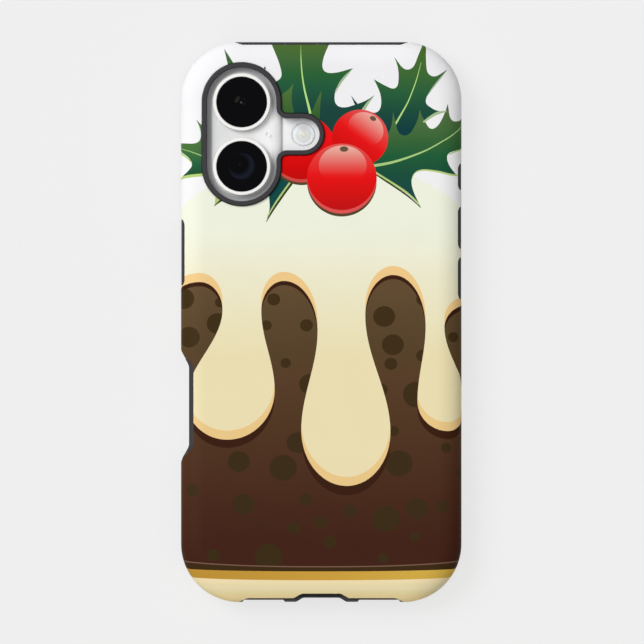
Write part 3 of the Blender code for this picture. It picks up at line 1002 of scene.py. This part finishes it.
def strip(low, high, low_bow=0.0, high_bow=0.0):
    """A band right across the case between two heights, whose edges bow up towards the sides."""
    across = np.linspace(-PAST_X, PAST_X, STRIP_COUNT)
    rise = np.abs(across / SHOWN_HALF_X) ** BOW_POWER
    edges = [np.column_stack((across, low + low_bow * rise))]
    edges.append(np.column_stack((across, high + high_bow * rise))[::-1])
    return np.vstack(edges)


def pudding_fields():
    """The sponge with its fruit, the sauce's shadow and edge, and the sauce over them."""
    cream = printed("cream", {
        -10: (233, 220, 176), 0: (234, 226, 188), 12: (235, 231, 202),
        18: (237, 236, 211), 25: (236, 239, 220),
    })
    tan = printed("tan", {-30: (232, 198, 135), 5: (237, 200, 137)})
    shadow = printed("sauce_shadow", (59, 33, 21))
    fruit = printed("fruit", {-60: (60, 45, 24), -40: (60, 46, 27), 5: (64, 48, 26)})
    sponge = printed("sponge", {
        -60: (66, 36, 26), -48: (72, 43, 29), -36: (78, 50, 34), -27: (81, 56, 36),
        -15: (87, 62, 42), -9: (86, 66, 42), 3: (92, 72, 48), 9: (97, 75, 51),
    })
    sauce = sauce_outline()
    dome_side = arc(0, 0, DOME_HALF_X, *DOME_ANGLES) * (1, DOME_RISE / DOME_HALF_X) + (0, DOME_Y)
    shoulder = DOME_Y - FIELD_OVERLAP
    dome = np.vstack((
        [(PAST_X, shoulder)], dome_side, [(-PAST_X, shoulder), (-PAST_X, 0), (PAST_X, 0)]
    ))
    fields = [(cream, dome), (sponge, strip(PLATE_Y, SAUCE_TOP - FIELD_OVERLAP))]
    for radius, places in FRUIT.items():
        size = (radius * FRUIT_WIDTH, 1 / FRUIT_WIDTH)
        fields += [(fruit, ellipse(*place, *size)) for place in places]
    fields.append((shadow, sauce * (1, SHADOW_STRETCH) - (0, SHADOW_DROP)))
    fields.append((tan, sauce))
    fields.append((cream, sauce + (0, TAN_WIDTH), sauce))
    return fields


def plate_fields():
    """The gold-rimmed plate that the pudding stands on, as bands that bow down a little."""
    gold = printed(
        "gold", {-36: (185, 141, 54), 0: (200, 155, 62), 36: (210, 173, 74)}, way=(1, 0, 0)
    )
    shade = printed("plate_shade", (62, 44, 24))
    line = printed("plate_line", (120, 90, 75))
    # The plate's print, painted brighter towards the bottom edge where the case turns down: painted
    # light against the shade there.
    plate = printed("plate", {
        -74.8: (248, 225, 166), -74.0: (239, 217, 162), -73.0: (231, 219, 166),
        -72.0: (236, 220, 178), -71.0: (232, 220, 173), -70.0: (240, 220, 174),
    })
    return [
        (plate, strip(-PAST_Y, PLATE_Y)),
        (gold, strip(GOLD_Y, PLATE_Y, GOLD_BOW)),
        (shade, strip(SHADE_Y, PLATE_Y, SHADE_BOW, PLATE_BOW)),
        (line, strip(PLATE_Y, PLATE_Y + LINE_WIDTH, PLATE_BOW, PLATE_BOW)),
    ]


def holly_fields():
    """The holly leaves with their veins, pale edges and undersides, and the spines between them."""
    green = printed("leaf_upright", {
        53: (29, 66, 61), 58: (29, 70, 61), 63: (36, 88, 62), 67: (44, 97, 54),
        71: (64, 103, 57), 75: (78, 108, 50),
    })
    right_green = printed("leaf_right", {
        52: (20, 62, 64), 57: (30, 76, 60), 62: (42, 94, 58), 67: (62, 104, 53), 72: (72, 108, 46),
        76: (74, 106, 44),
    })
    side_green = printed("leaf_side", {
        34: (27, 72, 70), 40: (29, 78, 60), 45: (34, 92, 56), 49: (56, 100, 56),
        53: (72, 109, 62), 58: (84, 114, 66),
    })
    left_green = printed("leaf_left", {
        38: (23, 63, 40), 43: (40, 96, 62), 47: (70, 112, 60), 51: (78, 117, 60), 74: (80, 110, 60),
    })
    teal = printed("leaf_deep", (20, 74, 70))
    olive = printed("leaf_olive", {55: (48, 92, 46), 64: (84, 116, 60)})
    pale = printed("leaf_edge", {30: (174, 196, 124), 42: (180, 206, 122), 60: (160, 184, 148)})
    vein = printed("leaf_vein", {
        40: (164, 196, 126), 58: (180, 220, 134), 70: (178, 222, 130), 75: (110, 146, 60),
    })
    dark = printed("leaf_underside", {28: (52, 55, 24), 62: (50, 96, 46)})
    white = printed("leaf_gap", (240, 245, 236))

    top_leaf = spiky(
        (-15.4, 81.5),
        ((-14.6, 79), (-13.4, 75.1), (-12.3, 72.4), (-11.3, 69.7), (-10.8, 67.7), (-10.8, 66.4),
         (-11.3, 65.6), (-13, 64.8)),
        ((-14, 55), (-4, 46)),
        ((8, 52),),
        ((11.3, 57.2), (12.7, 59.6), (14.5, 61.4)),
        ((11.5, 59.6), (9.0, 58.7), (7.5, 58.2), (6.0, 58.0), (4.5, 58.4), (3.75, 59.4), (3.6, 60.95),
         (3.95, 62.8), (5.15, 64.85), (6.85, 67.0), (8.6, 68.6)),
        ((6.8, 68.1), (5.0, 67.6), (2.5, 67.3), (1.0, 67.7), (0.35, 68.8), (0.4, 70.4), (1.0, 72.5),
         (2.1, 75.1), (3.5, 79), (4.3, 81.5)),
    )
    right_leaf = spiky(
        (28.2, 78),
        ((27.4, 75.1), (25.7, 70.7), (24.8, 68.9), (23.3, 68.2), (22.05, 68.7), (20.8, 70.2),
         (19.7, 71.7)),
        ((20.55, 69.4), (20.9, 66.9), (20.8, 64.7), (20.4, 63.55), (19.55, 63.1), (18.3, 63.4),
         (16.5, 64.3), (14.2, 65.6)),
        ((15.3, 63.4), (16.0, 61.4), (16.2, 59.4), (15.9, 57.7), (15.0, 56.7), (14.0, 56.6),
         (12.8, 57.0)),
        ((12, 50), (20, 46), (28.1, 54.5)),
        ((33.6, 57.0),),
        ((32.1, 57.0), (30.6, 57.4), (29.3, 58.2), (28.4, 59.0), (28.3, 60.2), (28.8, 61.4),
         (30.6, 63.9), (32.6, 66.4), (34.2, 68.4)),
        ((32.3, 67.1), (30.8, 66.4), (29.6, 66.6), (28.8, 67.4), (28.4, 69.4), (28.3, 71.9),
         (28.4, 74.7), (28.2, 78)),
    )
    side_leaf = spiky(
        (19.4, 56.9),
        ((20.3, 52.9), (21.05, 51.1), (22.3, 50.4), (23.8, 50.9), (25.1, 52.65), (26.1, 54.9),
         (26.6, 57.5)),
        ((27.2, 55.7), (28.1, 54.2), (28.8, 52.9), (29.8, 52.2), (30.8, 52.5), (32.1, 53.9),
         (33.1, 55.9), (33.8, 57.7), (34.2, 59.0)),
        ((34.5, 56.9), (34.8, 55.4), (35.8, 54.3), (36.8, 54.3), (38.1, 54.8), (41.0, 57.5),
         (43.6, 61.0)),
        ((44.0, 57.5), (46.5, 57.0)),
        ((46.5, 50.0),),
        ((41.5, 48.2), (38.1, 46.9), (37.1, 46.6), (35.6, 46.1), (34.3, 45.4), (34.0, 44.5),
         (34.3, 43.0), (35.3, 41.3), (36.6, 39.8)),
        ((34.8, 40.05), (32.3, 40.7), (29.8, 41.1), (27.1, 41.2), (25.3, 40.4), (24.6, 39.25),
         (24.4, 38.0), (24.7, 36.0), (25.7, 33.5), (26.8, 31.2)),
        ((24.1, 33.9), (20.1, 36.8), (13.0, 41.5)),
        ((13.6, 46), (18.3, 51.5), (19.4, 56.9)),
    )
    left_leaf = spiky(
        (-31.5, 52.4),
        ((-33.8, 54.7),),
        ((-33.1, 53.2), (-32.7, 51.9), (-32.6, 49.8), (-33.1, 48.8), (-34.3, 48.3), (-36.3, 48.3),
         (-38, 48.4), (-42.5, 49.3)),
        ((-38, 46.0), (-36.3, 44.8), (-35.2, 43.4), (-35.0, 42.3), (-35.6, 41.3), (-36.8, 40.1),
         (-38, 39.1), (-41.5, 37.6)),
        ((-38, 39.1), (-35.0, 39.7), (-30.0, 40.0), (-24.0, 44.0), (-31.5, 52.4)),
    )
    low_leaf = spiky(
        (-7.8, 37.2),
        ((-6.0, 40.0), (-14.1, 40.0)),
        ((-14.1, 33.9), (-14.0, 30.4), (-14.7, 27.7)),
        ((-7.8, 38.0),),
    )
    spines = (
        ((-25.2, 69.4), (-26.3, 74.0), (-23.6, 69.8)), ((-15.6, 68.4), (-15.2, 69.2), (-14.85, 68.4)),
        ((9.2, 58.4), (8.0, 61.3), (10.1, 58.6)),
    )
    olive_spines = (
        spiky((-11.5, 56.0), ((-10.4, 61.7), (-8.8, 62.9), (-7.5, 64.7)),
              ((-7.8, 62.9), (-8.0, 60.7), (-7.8, 58.7), (-6.6, 54.7))),
        spiky((-3.6, 54.0), ((-1.8, 58.6), (0.1, 62.6)), ((-0.3, 58.0), (-0.5, 51.5))),
    )
    edges = (
        ribbon(((8.5, 68.4), (6.75, 66.65), (5.0, 64.4), (3.8, 61.8)), 0.05, 0.6, 0.6, 0.1),
        ribbon(((14.4, 61.2), (12.6, 59.2), (11.2, 57.0)), 0.05, 0.7, 0.9),
        ribbon(((33.9, 68.0), (31.8, 65.4), (30.0, 63.1), (28.5, 60.9)), 0.05, 0.4, 0.4, 0.1),
        ribbon(((33.9, 56.9), (31.6, 56.5), (30.0, 55.7), (27.6, 54.0)), 0.3, 0.8, 0.7, 0.5),
        ribbon(((46.5, 50.0), (41.5, 48.0), (38.1, 46.7), (36.3, 46.1), (34.6, 45.3)), 0.5, 0.5, 0.3),
        ribbon(((36.9, 39.65), (34.75, 39.9), (32.25, 40.5), (29.8, 40.9), (27.1, 41.0), (25.2, 40.1),
                (24.5, 38.6)), 0.5, 0.5, 0.4, 0.1),
        ribbon(((-42.5, 49.0), (-38.0, 45.6), (-36.3, 44.4), (-35.0, 43.0)), 0.6, 0.6, 0.3),
        ribbon(((-41.7, 37.4), (-38.0, 38.9), (-35.0, 39.5), (-30.5, 39.8)), 0.3, 0.8, 0.8),
    )
    fields = [
        *((green, np.array(spine)) for spine in spines),
        (green, top_leaf),
        *((olive, spine) for spine in olive_spines),
        (vein, ribbon(((-5.5, 77.5), (-5.5, 71.9), (-5.3, 68.4), (-4.9, 64.9), (-4.2, 61.4),
                       (-3.45, 58.4), (-2.95, 56.3)), 0.1, 0.25, 0.35, 0.5, 0.65)),
        (white, ellipse(-10.0, 76.2, 1.6, 0.75)),
        (white, ellipse(-1.0, 76.2, 1.6, 0.75)),
        (right_green, right_leaf),
        (vein, ribbon(((18.6, 51.2), (20.0, 53.4), (21.75, 56.4), (23.45, 59.5), (24.65, 62.45),
                       (25.65, 65.2), (26.4, 67.9), (27.0, 70.2)), 0.6, 0.45, 0.3, 0.25, 0.1)),
        (side_green, side_leaf),
        (vein, ribbon(((13.0, 42.1), (17.3, 42.75), (21.1, 43.7), (24.9, 45.0), (28.75, 46.6),
                       (32.45, 48.65), (36.05, 51.0), (38.0, 52.8), (43.0, 57.2)),
                      0.8, 0.6, 0.35, 0.25, 0.1)),
        (dark, ribbon(((13.0, 41.0), (16.0, 39.05), (20.15, 36.35), (24.25, 33.35), (26.9, 30.9)),
                      0.3, 0.5, 0.5, 0.2)),
        (pale, ribbon(((13.0, 41.6), (16.0, 39.6), (20.2, 36.95), (24.3, 34.0), (26.5, 31.75)),
                      0.4, 0.5, 0.5, 0.3)),
        (left_green, left_leaf),
        (vein, ribbon(((-40.0, 47.3), (-37, 46.6), (-32.1, 44.85), (-28.0, 43.4)), 0.1, 0.22, 0.3)),
        (teal, low_leaf),
        (dark, ribbon(((-14.85, 27.1), (-12.9, 30.35), (-10.1, 34.5), (-7.3, 38.2)), 0.2, 0.55, 0.5)),
        (pale, ribbon(((-14.5, 28.5), (-13.0, 31.15), (-10.2, 35.3), (-7.9, 38.5)), 0.35, 0.5, 0.45)),
        (pale, np.array(((-28.8, 31.5), (-25.5, 34.0), (-28.6, 33.9)))),
        (dark, ribbon(((-28.9, 31.4), (-27.2, 32.75), (-25.0, 34.2)), 0.2, 0.6, 0.6)),
        *((pale, edge) for edge in edges),
    ]
    return fields


def berry_fields():
    """Three berries in front of the leaves. Two have a lit side and their stalk's scar."""
    rim = printed("berry_rim", {30: (220, 84, 82), 38: (206, 76, 70)})
    under = printed("berry_shadow", (84, 70, 44))
    scar = printed("berry_scar", (102, 84, 64))
    back_red = printed("berry_red_back", {
        38: (192, 13, 14), 40: (198, 11, 12), 42: (208, 11, 12), 44: (218, 12, 13), 50: (238, 20, 24),
    })
    side_red = printed("berry_red_side", {
        42.5: (213, 18, 18), 44.6: (219, 20, 21), 46.6: (228, 23, 25), 48.0: (230, 38, 38),
        50.0: (226, 56, 56), 53.5: (224, 86, 86),
    }, way=SUNWARD)
    front_red = printed("berry_red_front", {
        30.6: (190, 20, 23), 34: (206, 21, 19), 38: (224, 20, 21), 40: (229, 24, 26), 42: (228, 44, 44),
        44: (226, 56, 55), 46: (224, 72, 69), 48: (222, 90, 85),
    })
    shine = printed("berry_shine", {
        37: (220, 20, 21), 38.6: (226, 21, 22), 39.5: (229, 30, 30), 40: (229, 41, 41),
        42: (228, 84, 79), 44: (229, 122, 115), 45: (229, 140, 127), 46: (230, 158, 145),
        47.8: (238, 176, 163),
    })
    side_shine = printed("berry_shine_side", {
        45.5: (224, 20, 21), 46.4: (228, 21, 23), 47.6: (229, 48, 46), 49.4: (229, 96, 92),
        51.2: (232, 134, 125), 53.6: (238, 170, 157),
    }, way=SUNWARD)
    lit_sides = (
        (),
        ((side_shine, ellipse(12.05, 52.2, 5.0, 0.85, SHINE_TILT)),
         (scar, ellipse(14.0, 55.0, 0.9, 0.7, -25))),
        ((shine, ellipse(5.8, 42.3, 6.45, 0.84)), (scar, ellipse(6.15, 46.75, 1.15, 0.65))),
    )
    fields = []
    for berry, red, lit_side in zip(BERRIES, (back_red, side_red, front_red), lit_sides):
        x, y, radius, rim_width, drop = berry
        body = ellipse(x, y, radius)
        fields += [
            (under, ellipse(x, y - drop, radius - BERRY_SHADOW_INSET)),
            (rim, body),
            (red, ellipse(x, y + rim_width, radius), body),
            *lit_side,
        ]
    return fields


# The pieces.
def settle(piece, slot, *nodes):
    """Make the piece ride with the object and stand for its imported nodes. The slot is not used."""
    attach(piece, "root")
    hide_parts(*nodes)


def make_shell():
    """The hard printed outer layer."""
    white = printed("white", {-76: (240, 240, 240), 40: (240, 239, 240), 70: (238, 237, 239)})
    outer = FLAT_RADIUS + run_at_height(SHELL_FOOT)
    outline = rounded_rect(*(CORE + outer), outer)
    fields = pudding_fields() + plate_fields() + holly_fields() + berry_fields()
    shell = sheet(
        "printed_shell", outline, shell_holes(), fields, white, 0, SHELL_THICKNESS, SHELL_ROUND
    )
    settle(shell, "printed_shell", "shell")


def make_liner():
    """The soft inner layer: a tray with the lip, the camera rim, the covers and the bands."""
    rubber = surface("soft_rubber", linear((50, 48, 52)), (0.5, 0.62), 0.18, 0.006, specular=0.3)
    liner = case_body("soft_liner", SHELL_THICKNESS + GAP, FLANGE_HEIGHT / 2, rubber)
    flange_layers = [
        (case_outline(inset), FLANGE_ROUND - rise)
        for inset, rise in reversed(quarter_round(FLANGE_ROUND))
    ]
    flange = loft("flange", flange_layers + [(case_outline(0), FLANGE_HEIGHT)])
    rim_layers = [
        (camera_outline(RIM_WIDTH - inset), RIM_TOP - RIM_ROUND + rise)
        for inset, rise in quarter_round(RIM_ROUND)
    ]
    rim = loft("rim", [(camera_outline(RIM_WIDTH), RIM_FOOT), *rim_layers])
    depth = SHELL_THICKNESS + GAP - COVER_SUNK + TINY_OVERLAP
    outlines = cover_outlines(0.0) + band_outlines(0.0, FLANGE_HEIGHT / 2)
    raised = [
        sheet(f"raised {number}", outline, (), (), rubber, COVER_SUNK, depth, COVER_EDGE)
        for number, outline in enumerate(outlines)
    ]
    combine(liner, "UNION", flange, rim, *raised)

    cavity = phone_slice("cavity", SCREEN_Z - GAP, BACK_Z + GAP, GAP)
    lip_half = (PHONE_HALF_X - LIP_REACH, PHONE_HALF_Y - LIP_REACH)
    lip_outline = rounded_rect(*lip_half, PHONE_CORNER - LIP_REACH)
    opening = prism("lip opening", lip_outline, -CLEAR, MIDDLE_Z)
    window_round = RIM_ROUND / 2
    window_layers = [
        (camera_outline(inset), RIM_TOP - window_round + rise)
        for inset, rise in quarter_round(window_round)
    ]
    window_foot = (camera_outline(0), MIDDLE_Z)
    window_mouth = (camera_outline(window_round), RIM_TOP + CLEAR)
    window = loft("rim window", [window_foot, *window_layers, window_mouth])
    combine(liner, "DIFFERENCE", cavity, opening, window, plateau("camera room", MIDDLE_Z, GAP))
    outline = turned(dip(NOTCH_FLAT, NOTCH_SLOPE, WALL, CLEAR), 1) + (-CASE_HALF_X, NOTCH_Y)
    cutters = [prism("liner notch", outline, -CLEAR, RIM_TOP)]
    for x, sizes in ((0, LINER_SCOOP), (-SPEAKER_X, SPEAKER_RECESS), (SPEAKER_X, SPEAKER_RECESS)):
        outline = turned(dip(*sizes, CLEAR), 2) + (x, -CASE_HALF_Y)
        cutters.append(prism(f"recess {x}", outline, -CLEAR, RIM_TOP))
    for x, half in ((0, PORT_WINDOW), (-SPEAKER_X, SPEAKER_WINDOW), (SPEAKER_X, SPEAKER_WINDOW)):
        ends = (-CASE_HALF_Y - CLEAR, GAP - PHONE_HALF_Y)
        cutters.append(round_ended(f"hole {x}", half, (x, MIDDLE_Z), *ends, "Y"))
    combine(liner, "DIFFERENCE", *cutters)
    settle(shaded(liner), "soft_liner", "liner")


def make_screen():
    """The phone's front glass, whose display lies a little under its border."""
    border_finish, display_finish = (
        surface(name, linear(colour), (0.03, 0.05), 0.4, 0.0002, coat=1.0)
        for name, colour in (("screen_glass", (8, 8, 10)), ("screen_display", (15, 16, 21)))
    )
    screen = phone_slice("screen", SCREEN_Z, SCREEN_Z + GLASS_THICKNESS, finish=border_finish)
    screen.data.materials.append(display_finish)
    half = (PHONE_HALF_X - DISPLAY_INSET, PHONE_HALF_Y - DISPLAY_INSET)
    outline = rounded_rect(*half, PHONE_CORNER - DISPLAY_INSET)
    display = prism("display", outline, SCREEN_Z - CLEAR, SCREEN_Z + DISPLAY_SUNK)
    combine(screen, "DIFFERENCE", display)
    for face in screen.data.polygons:
        x, y, z = face.center / MM
        inside = abs(x) < half[0] and abs(y) < half[1]
        if face.normal.z < FACING_DOWN and z > SCREEN_Z + DISPLAY_SUNK / 2 and inside:
            face.material_index = 1
    settle(shaded(screen), "screen_glass", "screen_glass")


def make_frame():
    """The phone's metal frame, with the camera's key in its side and the port's tongue."""
    metal = surface("phone_metal", linear((205, 206, 208)), (0.24, 0.34), 0.1, 0.002, metallic=1.0)
    joint = GLASS_THICKNESS + SEAM
    body = phone_slice("metal_frame", SCREEN_Z + joint, BACK_Z - joint, finish=metal)
    key_centre = (NOTCH_Y, MIDDLE_Z)
    pocket_half = (KEY_HALF[0] + GAP, KEY_HALF[1] + GAP)
    pocket_ends = (-PHONE_HALF_X - CLEAR, KEY_DEPTH + GAP - PHONE_HALF_X)
    mouth = -PHONE_HALF_Y - CLEAR
    cutters = [
        round_ended("key pocket", pocket_half, key_centre, *pocket_ends, "X"),
        round_ended("port pocket", PORT_HALF, (0, MIDDLE_Z), mouth, PORT_DEPTH - PHONE_HALF_Y, "Y"),
    ]
    first = SPEAKER_X - SPEAKER_HOLE_PITCH * (SPEAKER_HOLES - 1) / 2
    for side in (-1, 1):
        for number in range(SPEAKER_HOLES):
            x = side * (first + SPEAKER_HOLE_PITCH * number)
            outline = ellipse(x, MIDDLE_Z, SPEAKER_HOLE_RADIUS)
            end = SPEAKER_HOLE_DEPTH - PHONE_HALF_Y
            cutters.append(prism(f"speaker hole {side} {number}", outline, mouth, end, "Y"))
    combine(body, "DIFFERENCE", *cutters)
    settle(shaded(body), "phone_metal", "phone_frame")

    layers = [(0, KEY_DEPTH), *((inset, KEY_EDGE - rise) for inset, rise in quarter_round(KEY_EDGE))]
    key_layers = []
    for inset, sunk in layers:
        half = (KEY_HALF[0] - inset, KEY_HALF[1] - inset)
        outline = rounded_rect(*half, half[1], key_centre, SMALL_COUNT)
        key_layers.append((outline, sunk - PHONE_HALF_X))
    key = loft("side_key", key_layers, metal, along="X")
    settle(shaded(key), "key_glass", "camera_key")

    plastic = surface("port_plastic", linear((24, 24, 26)), (0.4, 0.5), 0.2, 0.002)
    tongue_layers = []
    tip = (TONGUE_ROUND, TONGUE_SUNK)
    for inset, sunk in (tip, (0, TONGUE_SUNK + TONGUE_ROUND), (0, PORT_DEPTH - GAP)):
        half = (TONGUE_HALF[0] - inset, TONGUE_HALF[1] - inset / 2)
        outline = rounded_rect(*half, TONGUE_ROUND, (0, MIDDLE_Z), SMALL_COUNT)
        tongue_layers.append((outline, sunk - PHONE_HALF_Y))
    tongue = loft("plug_tongue", tongue_layers, plastic, along="Y")
    settle(shaded(tongue), "port_plastic", "port_tongue")


def make_back():
    """The phone's glass back, with the camera's raised pill and the room for the flash."""
    # Colour by height paints shade up the pill's shoulder, and painted light lifts it near the flash.
    finish = surface(
        "back_glass", changed(BACK_COLOURS_AND_PAINTED_SHADE, linear), (0.25, 0.32), 0.15, 0.001, way=(0, 0, 1),
        specular=0.2, painted_light_spot=(PAINTED_LIGHT_MIDDLE, linear(PAINTED_LIGHT_COLOUR), *PAINTED_LIGHT_RADII),
    )
    foot = BACK_Z - GLASS_THICKNESS / 2
    back = phone_slice("phone_back", BACK_Z - GLASS_THICKNESS, BACK_Z, finish=finish)
    combine(back, "UNION", plateau("plateau", foot, shoulder=PLATEAU_SHOULDER))
    mics = [
        prism(f"mic {radius}", ellipse(x, y, radius), PLATEAU_TOP - MIC_DEPTH, PLATEAU_TOP + CLEAR)
        for x, y, radius in MIC_DIMPLES
    ]
    flash_outline = ellipse(FLASH_X, CAMERA_Y, FLASH_RADIUS + GAP)
    combine(back, "DIFFERENCE", *mics, prism("flash room", flash_outline, foot, RIM_TOP))
    settle(shaded(back), "back_glass", "back_glass")


def make_lenses():
    """The two lens rings with their black cover glasses, which carry painted glints and a painted blue
    reflection.
    """
    ring_finish = surface("lens_metal", linear((248, 246, 243)), (0.25, 0.35), 0.1, 0.001)
    black = surface("lens_black", LENS_BLACK, (0.04, 0.08), 0.5, 0.0002, specular=0.03)
    reflection_centre = np.array((LENS_X, CAMERA_Y - LENS_RISE)) + BLUE_REFLECTION_OFFSET
    # Painted glints and a painted blue reflection for the cover glasses.
    painted_glints = {
        "brown": linear((36, 34, 29)), "grey": linear((66, 68, 67)), "faint": linear((26, 30, 31)),
        "blue": {
            0: LENS_BLACK, 2.4: LENS_BLACK, 3.6: linear((24, 29, 42)), 4.7: linear((12, 14, 21)),
        },
    }
    for key, colour in painted_glints.items():
        painted_glints[key] = surface(
            f"lens_{key}", colour, (0.04, 0.08), 0.5, 0.0002, centre=reflection_centre, specular=0.03
        )
    low = PLATEAU_TOP + SEAM
    bore = LENS_RING_RADIUS - LENS_RING_WIDTH
    edge = [
        (LENS_RING_RADIUS - inset, RING_TOP - LENS_RING_ROUND + rise)
        for inset, rise in quarter_round(LENS_RING_ROUND)
    ]
    chamfer = [(bore + LENS_RING_CHAMFER, RING_TOP), (bore, RING_TOP - LENS_RING_CHAMFER)]
    section = [(LENS_RING_RADIUS, low), *edge, *chamfer, (bore, low)]
    glass_radius = bore - SEAM
    glass_top = RING_TOP - LENS_SUNK
    for label, side in (("upper", 1), ("lower", -1)):
        centre = (LENS_X, CAMERA_Y + side * LENS_RISE)
        ring = turning(f"ring_{label}", section, centre, ring_finish, ring=True)
        settle(shaded(ring), "lens_metal", f"lens_ring_{label}")
        fields = [
            (painted_glints[key], ellipse(*(centre + np.array(place)), *shape))
            for key, place, *shape in PAINTED_LENS_GLINTS[label]
        ]
        glass = sheet(
            f"lens_{label}", ellipse(*centre, glass_radius), (), fields, black, 0,
            glass_top - low, LENS_EDGE, flat(glass_top),
        )
        settle(glass, "lens_glass", f"lens_glass_{label}")


def make_flash():
    """The flash's lens: a shallow eye with ridges round it."""
    # Its colour holds painted light and shade in rings round the eye.
    finish = surface(
        "flash_lens", changed(FLASH_COLOURS_AND_PAINTED_LIGHT, linear), (0.1, 0.2), 0.3, 0.002,
        centre=(FLASH_X, CAMERA_Y), specular=0.3,
    )
    inset, drop = FLASH_CHAMFER
    section = [
        (FLASH_RADIUS, FLASH_LOW[2]), (FLASH_RADIUS, BACK_Z - drop), (FLASH_RADIUS - inset, BACK_Z),
    ]
    radius = FLASH_RADIUS - FLASH_BORDER
    while radius > FLASH_EYE:
        section += [(radius, BACK_Z), (radius - GROOVE_FALL, BACK_Z - FLASH_GROOVE)]
        section += [(radius - FLASH_PITCH + GROOVE_GAP, BACK_Z)]
        radius -= FLASH_PITCH
    for angle in np.radians(FLASH_EYE_ANGLES):
        height = BACK_Z - FLASH_GROOVE * (1 - math.sin(angle))
        section.append((radius * math.cos(angle), height))
    flash = turning("flash", section, (FLASH_X, CAMERA_Y), finish, step=FLASH_STEP)
    settle(shaded(flash), "flash_lens", "flash_lens")


def make_stage():
    """A pale floor, a sky that is bright overhead, and a soft sun from the upper left."""
    floor_finish = surface(
        "floor", linear((104, 104, 104)), (0.7, 0.8), 2.0, 0.01, mottle=0.003, specular=0.1,
        glow=FLOOR_GLOW, glow_colour=(1, 1, 1, 1),
    )
    far = FLOOR_REACH * MM
    mesh = bpy.data.meshes.new("floor")
    floor_corners = [(-far, -far, 0), (far, -far, 0), (far, far, 0), (-far, far, 0)]
    mesh.from_pydata(floor_corners, [], [(0, 1, 2, 3)])
    mesh.materials.append(floor_finish)
    added("floor", mesh)

    world = bpy.data.worlds.new("studio")
    bpy.context.scene.world = world
    world.use_nodes = True
    tree = world.node_tree
    way = node(tree, "TexCoord").outputs["Generated"]
    up = node(tree, "SeparateXYZ", {0: way}).outputs["Z"]
    ramp = node(tree, "ValToRGB", {0: up})
    for stop, position, light in zip(ramp.color_ramp.elements, SKY_TURN, (SKY_SIDE, SKY_TOP)):
        stop.position = position
        stop.color = (light, light, light, 1)
    tree.links.new(ramp.outputs[0], tree.nodes["Background"].inputs["Color"])

    sun = bpy.data.lights.new("key light", "SUN")
    sun.energy = SUN_POWER
    sun.angle = math.radians(SUN_WIDTH)
    lamp = added("key light", sun)
    lamp.rotation_euler = Vector(SUN_FROM).to_track_quat("Z", "Y").to_euler()


def make_camera_view():
    """The view from straight above the case, through a long lens."""
    lens = bpy.data.cameras.new("view")
    lens.lens = LENS
    lens.clip_end = CLIP_END
    view = added("view", lens)
    distance = VIEW_WIDTH * LENS / lens.sensor_width
    view.location = Vector((VIEW_X, 0, VIEW_Z + distance)) * MM
    bpy.context.scene.camera = view


make_shell()
make_liner()
make_screen()
make_frame()
make_back()
make_lenses()
make_flash()
make_stage()
make_camera_view()
bpy.context.scene.view_settings.view_transform = "Standard"
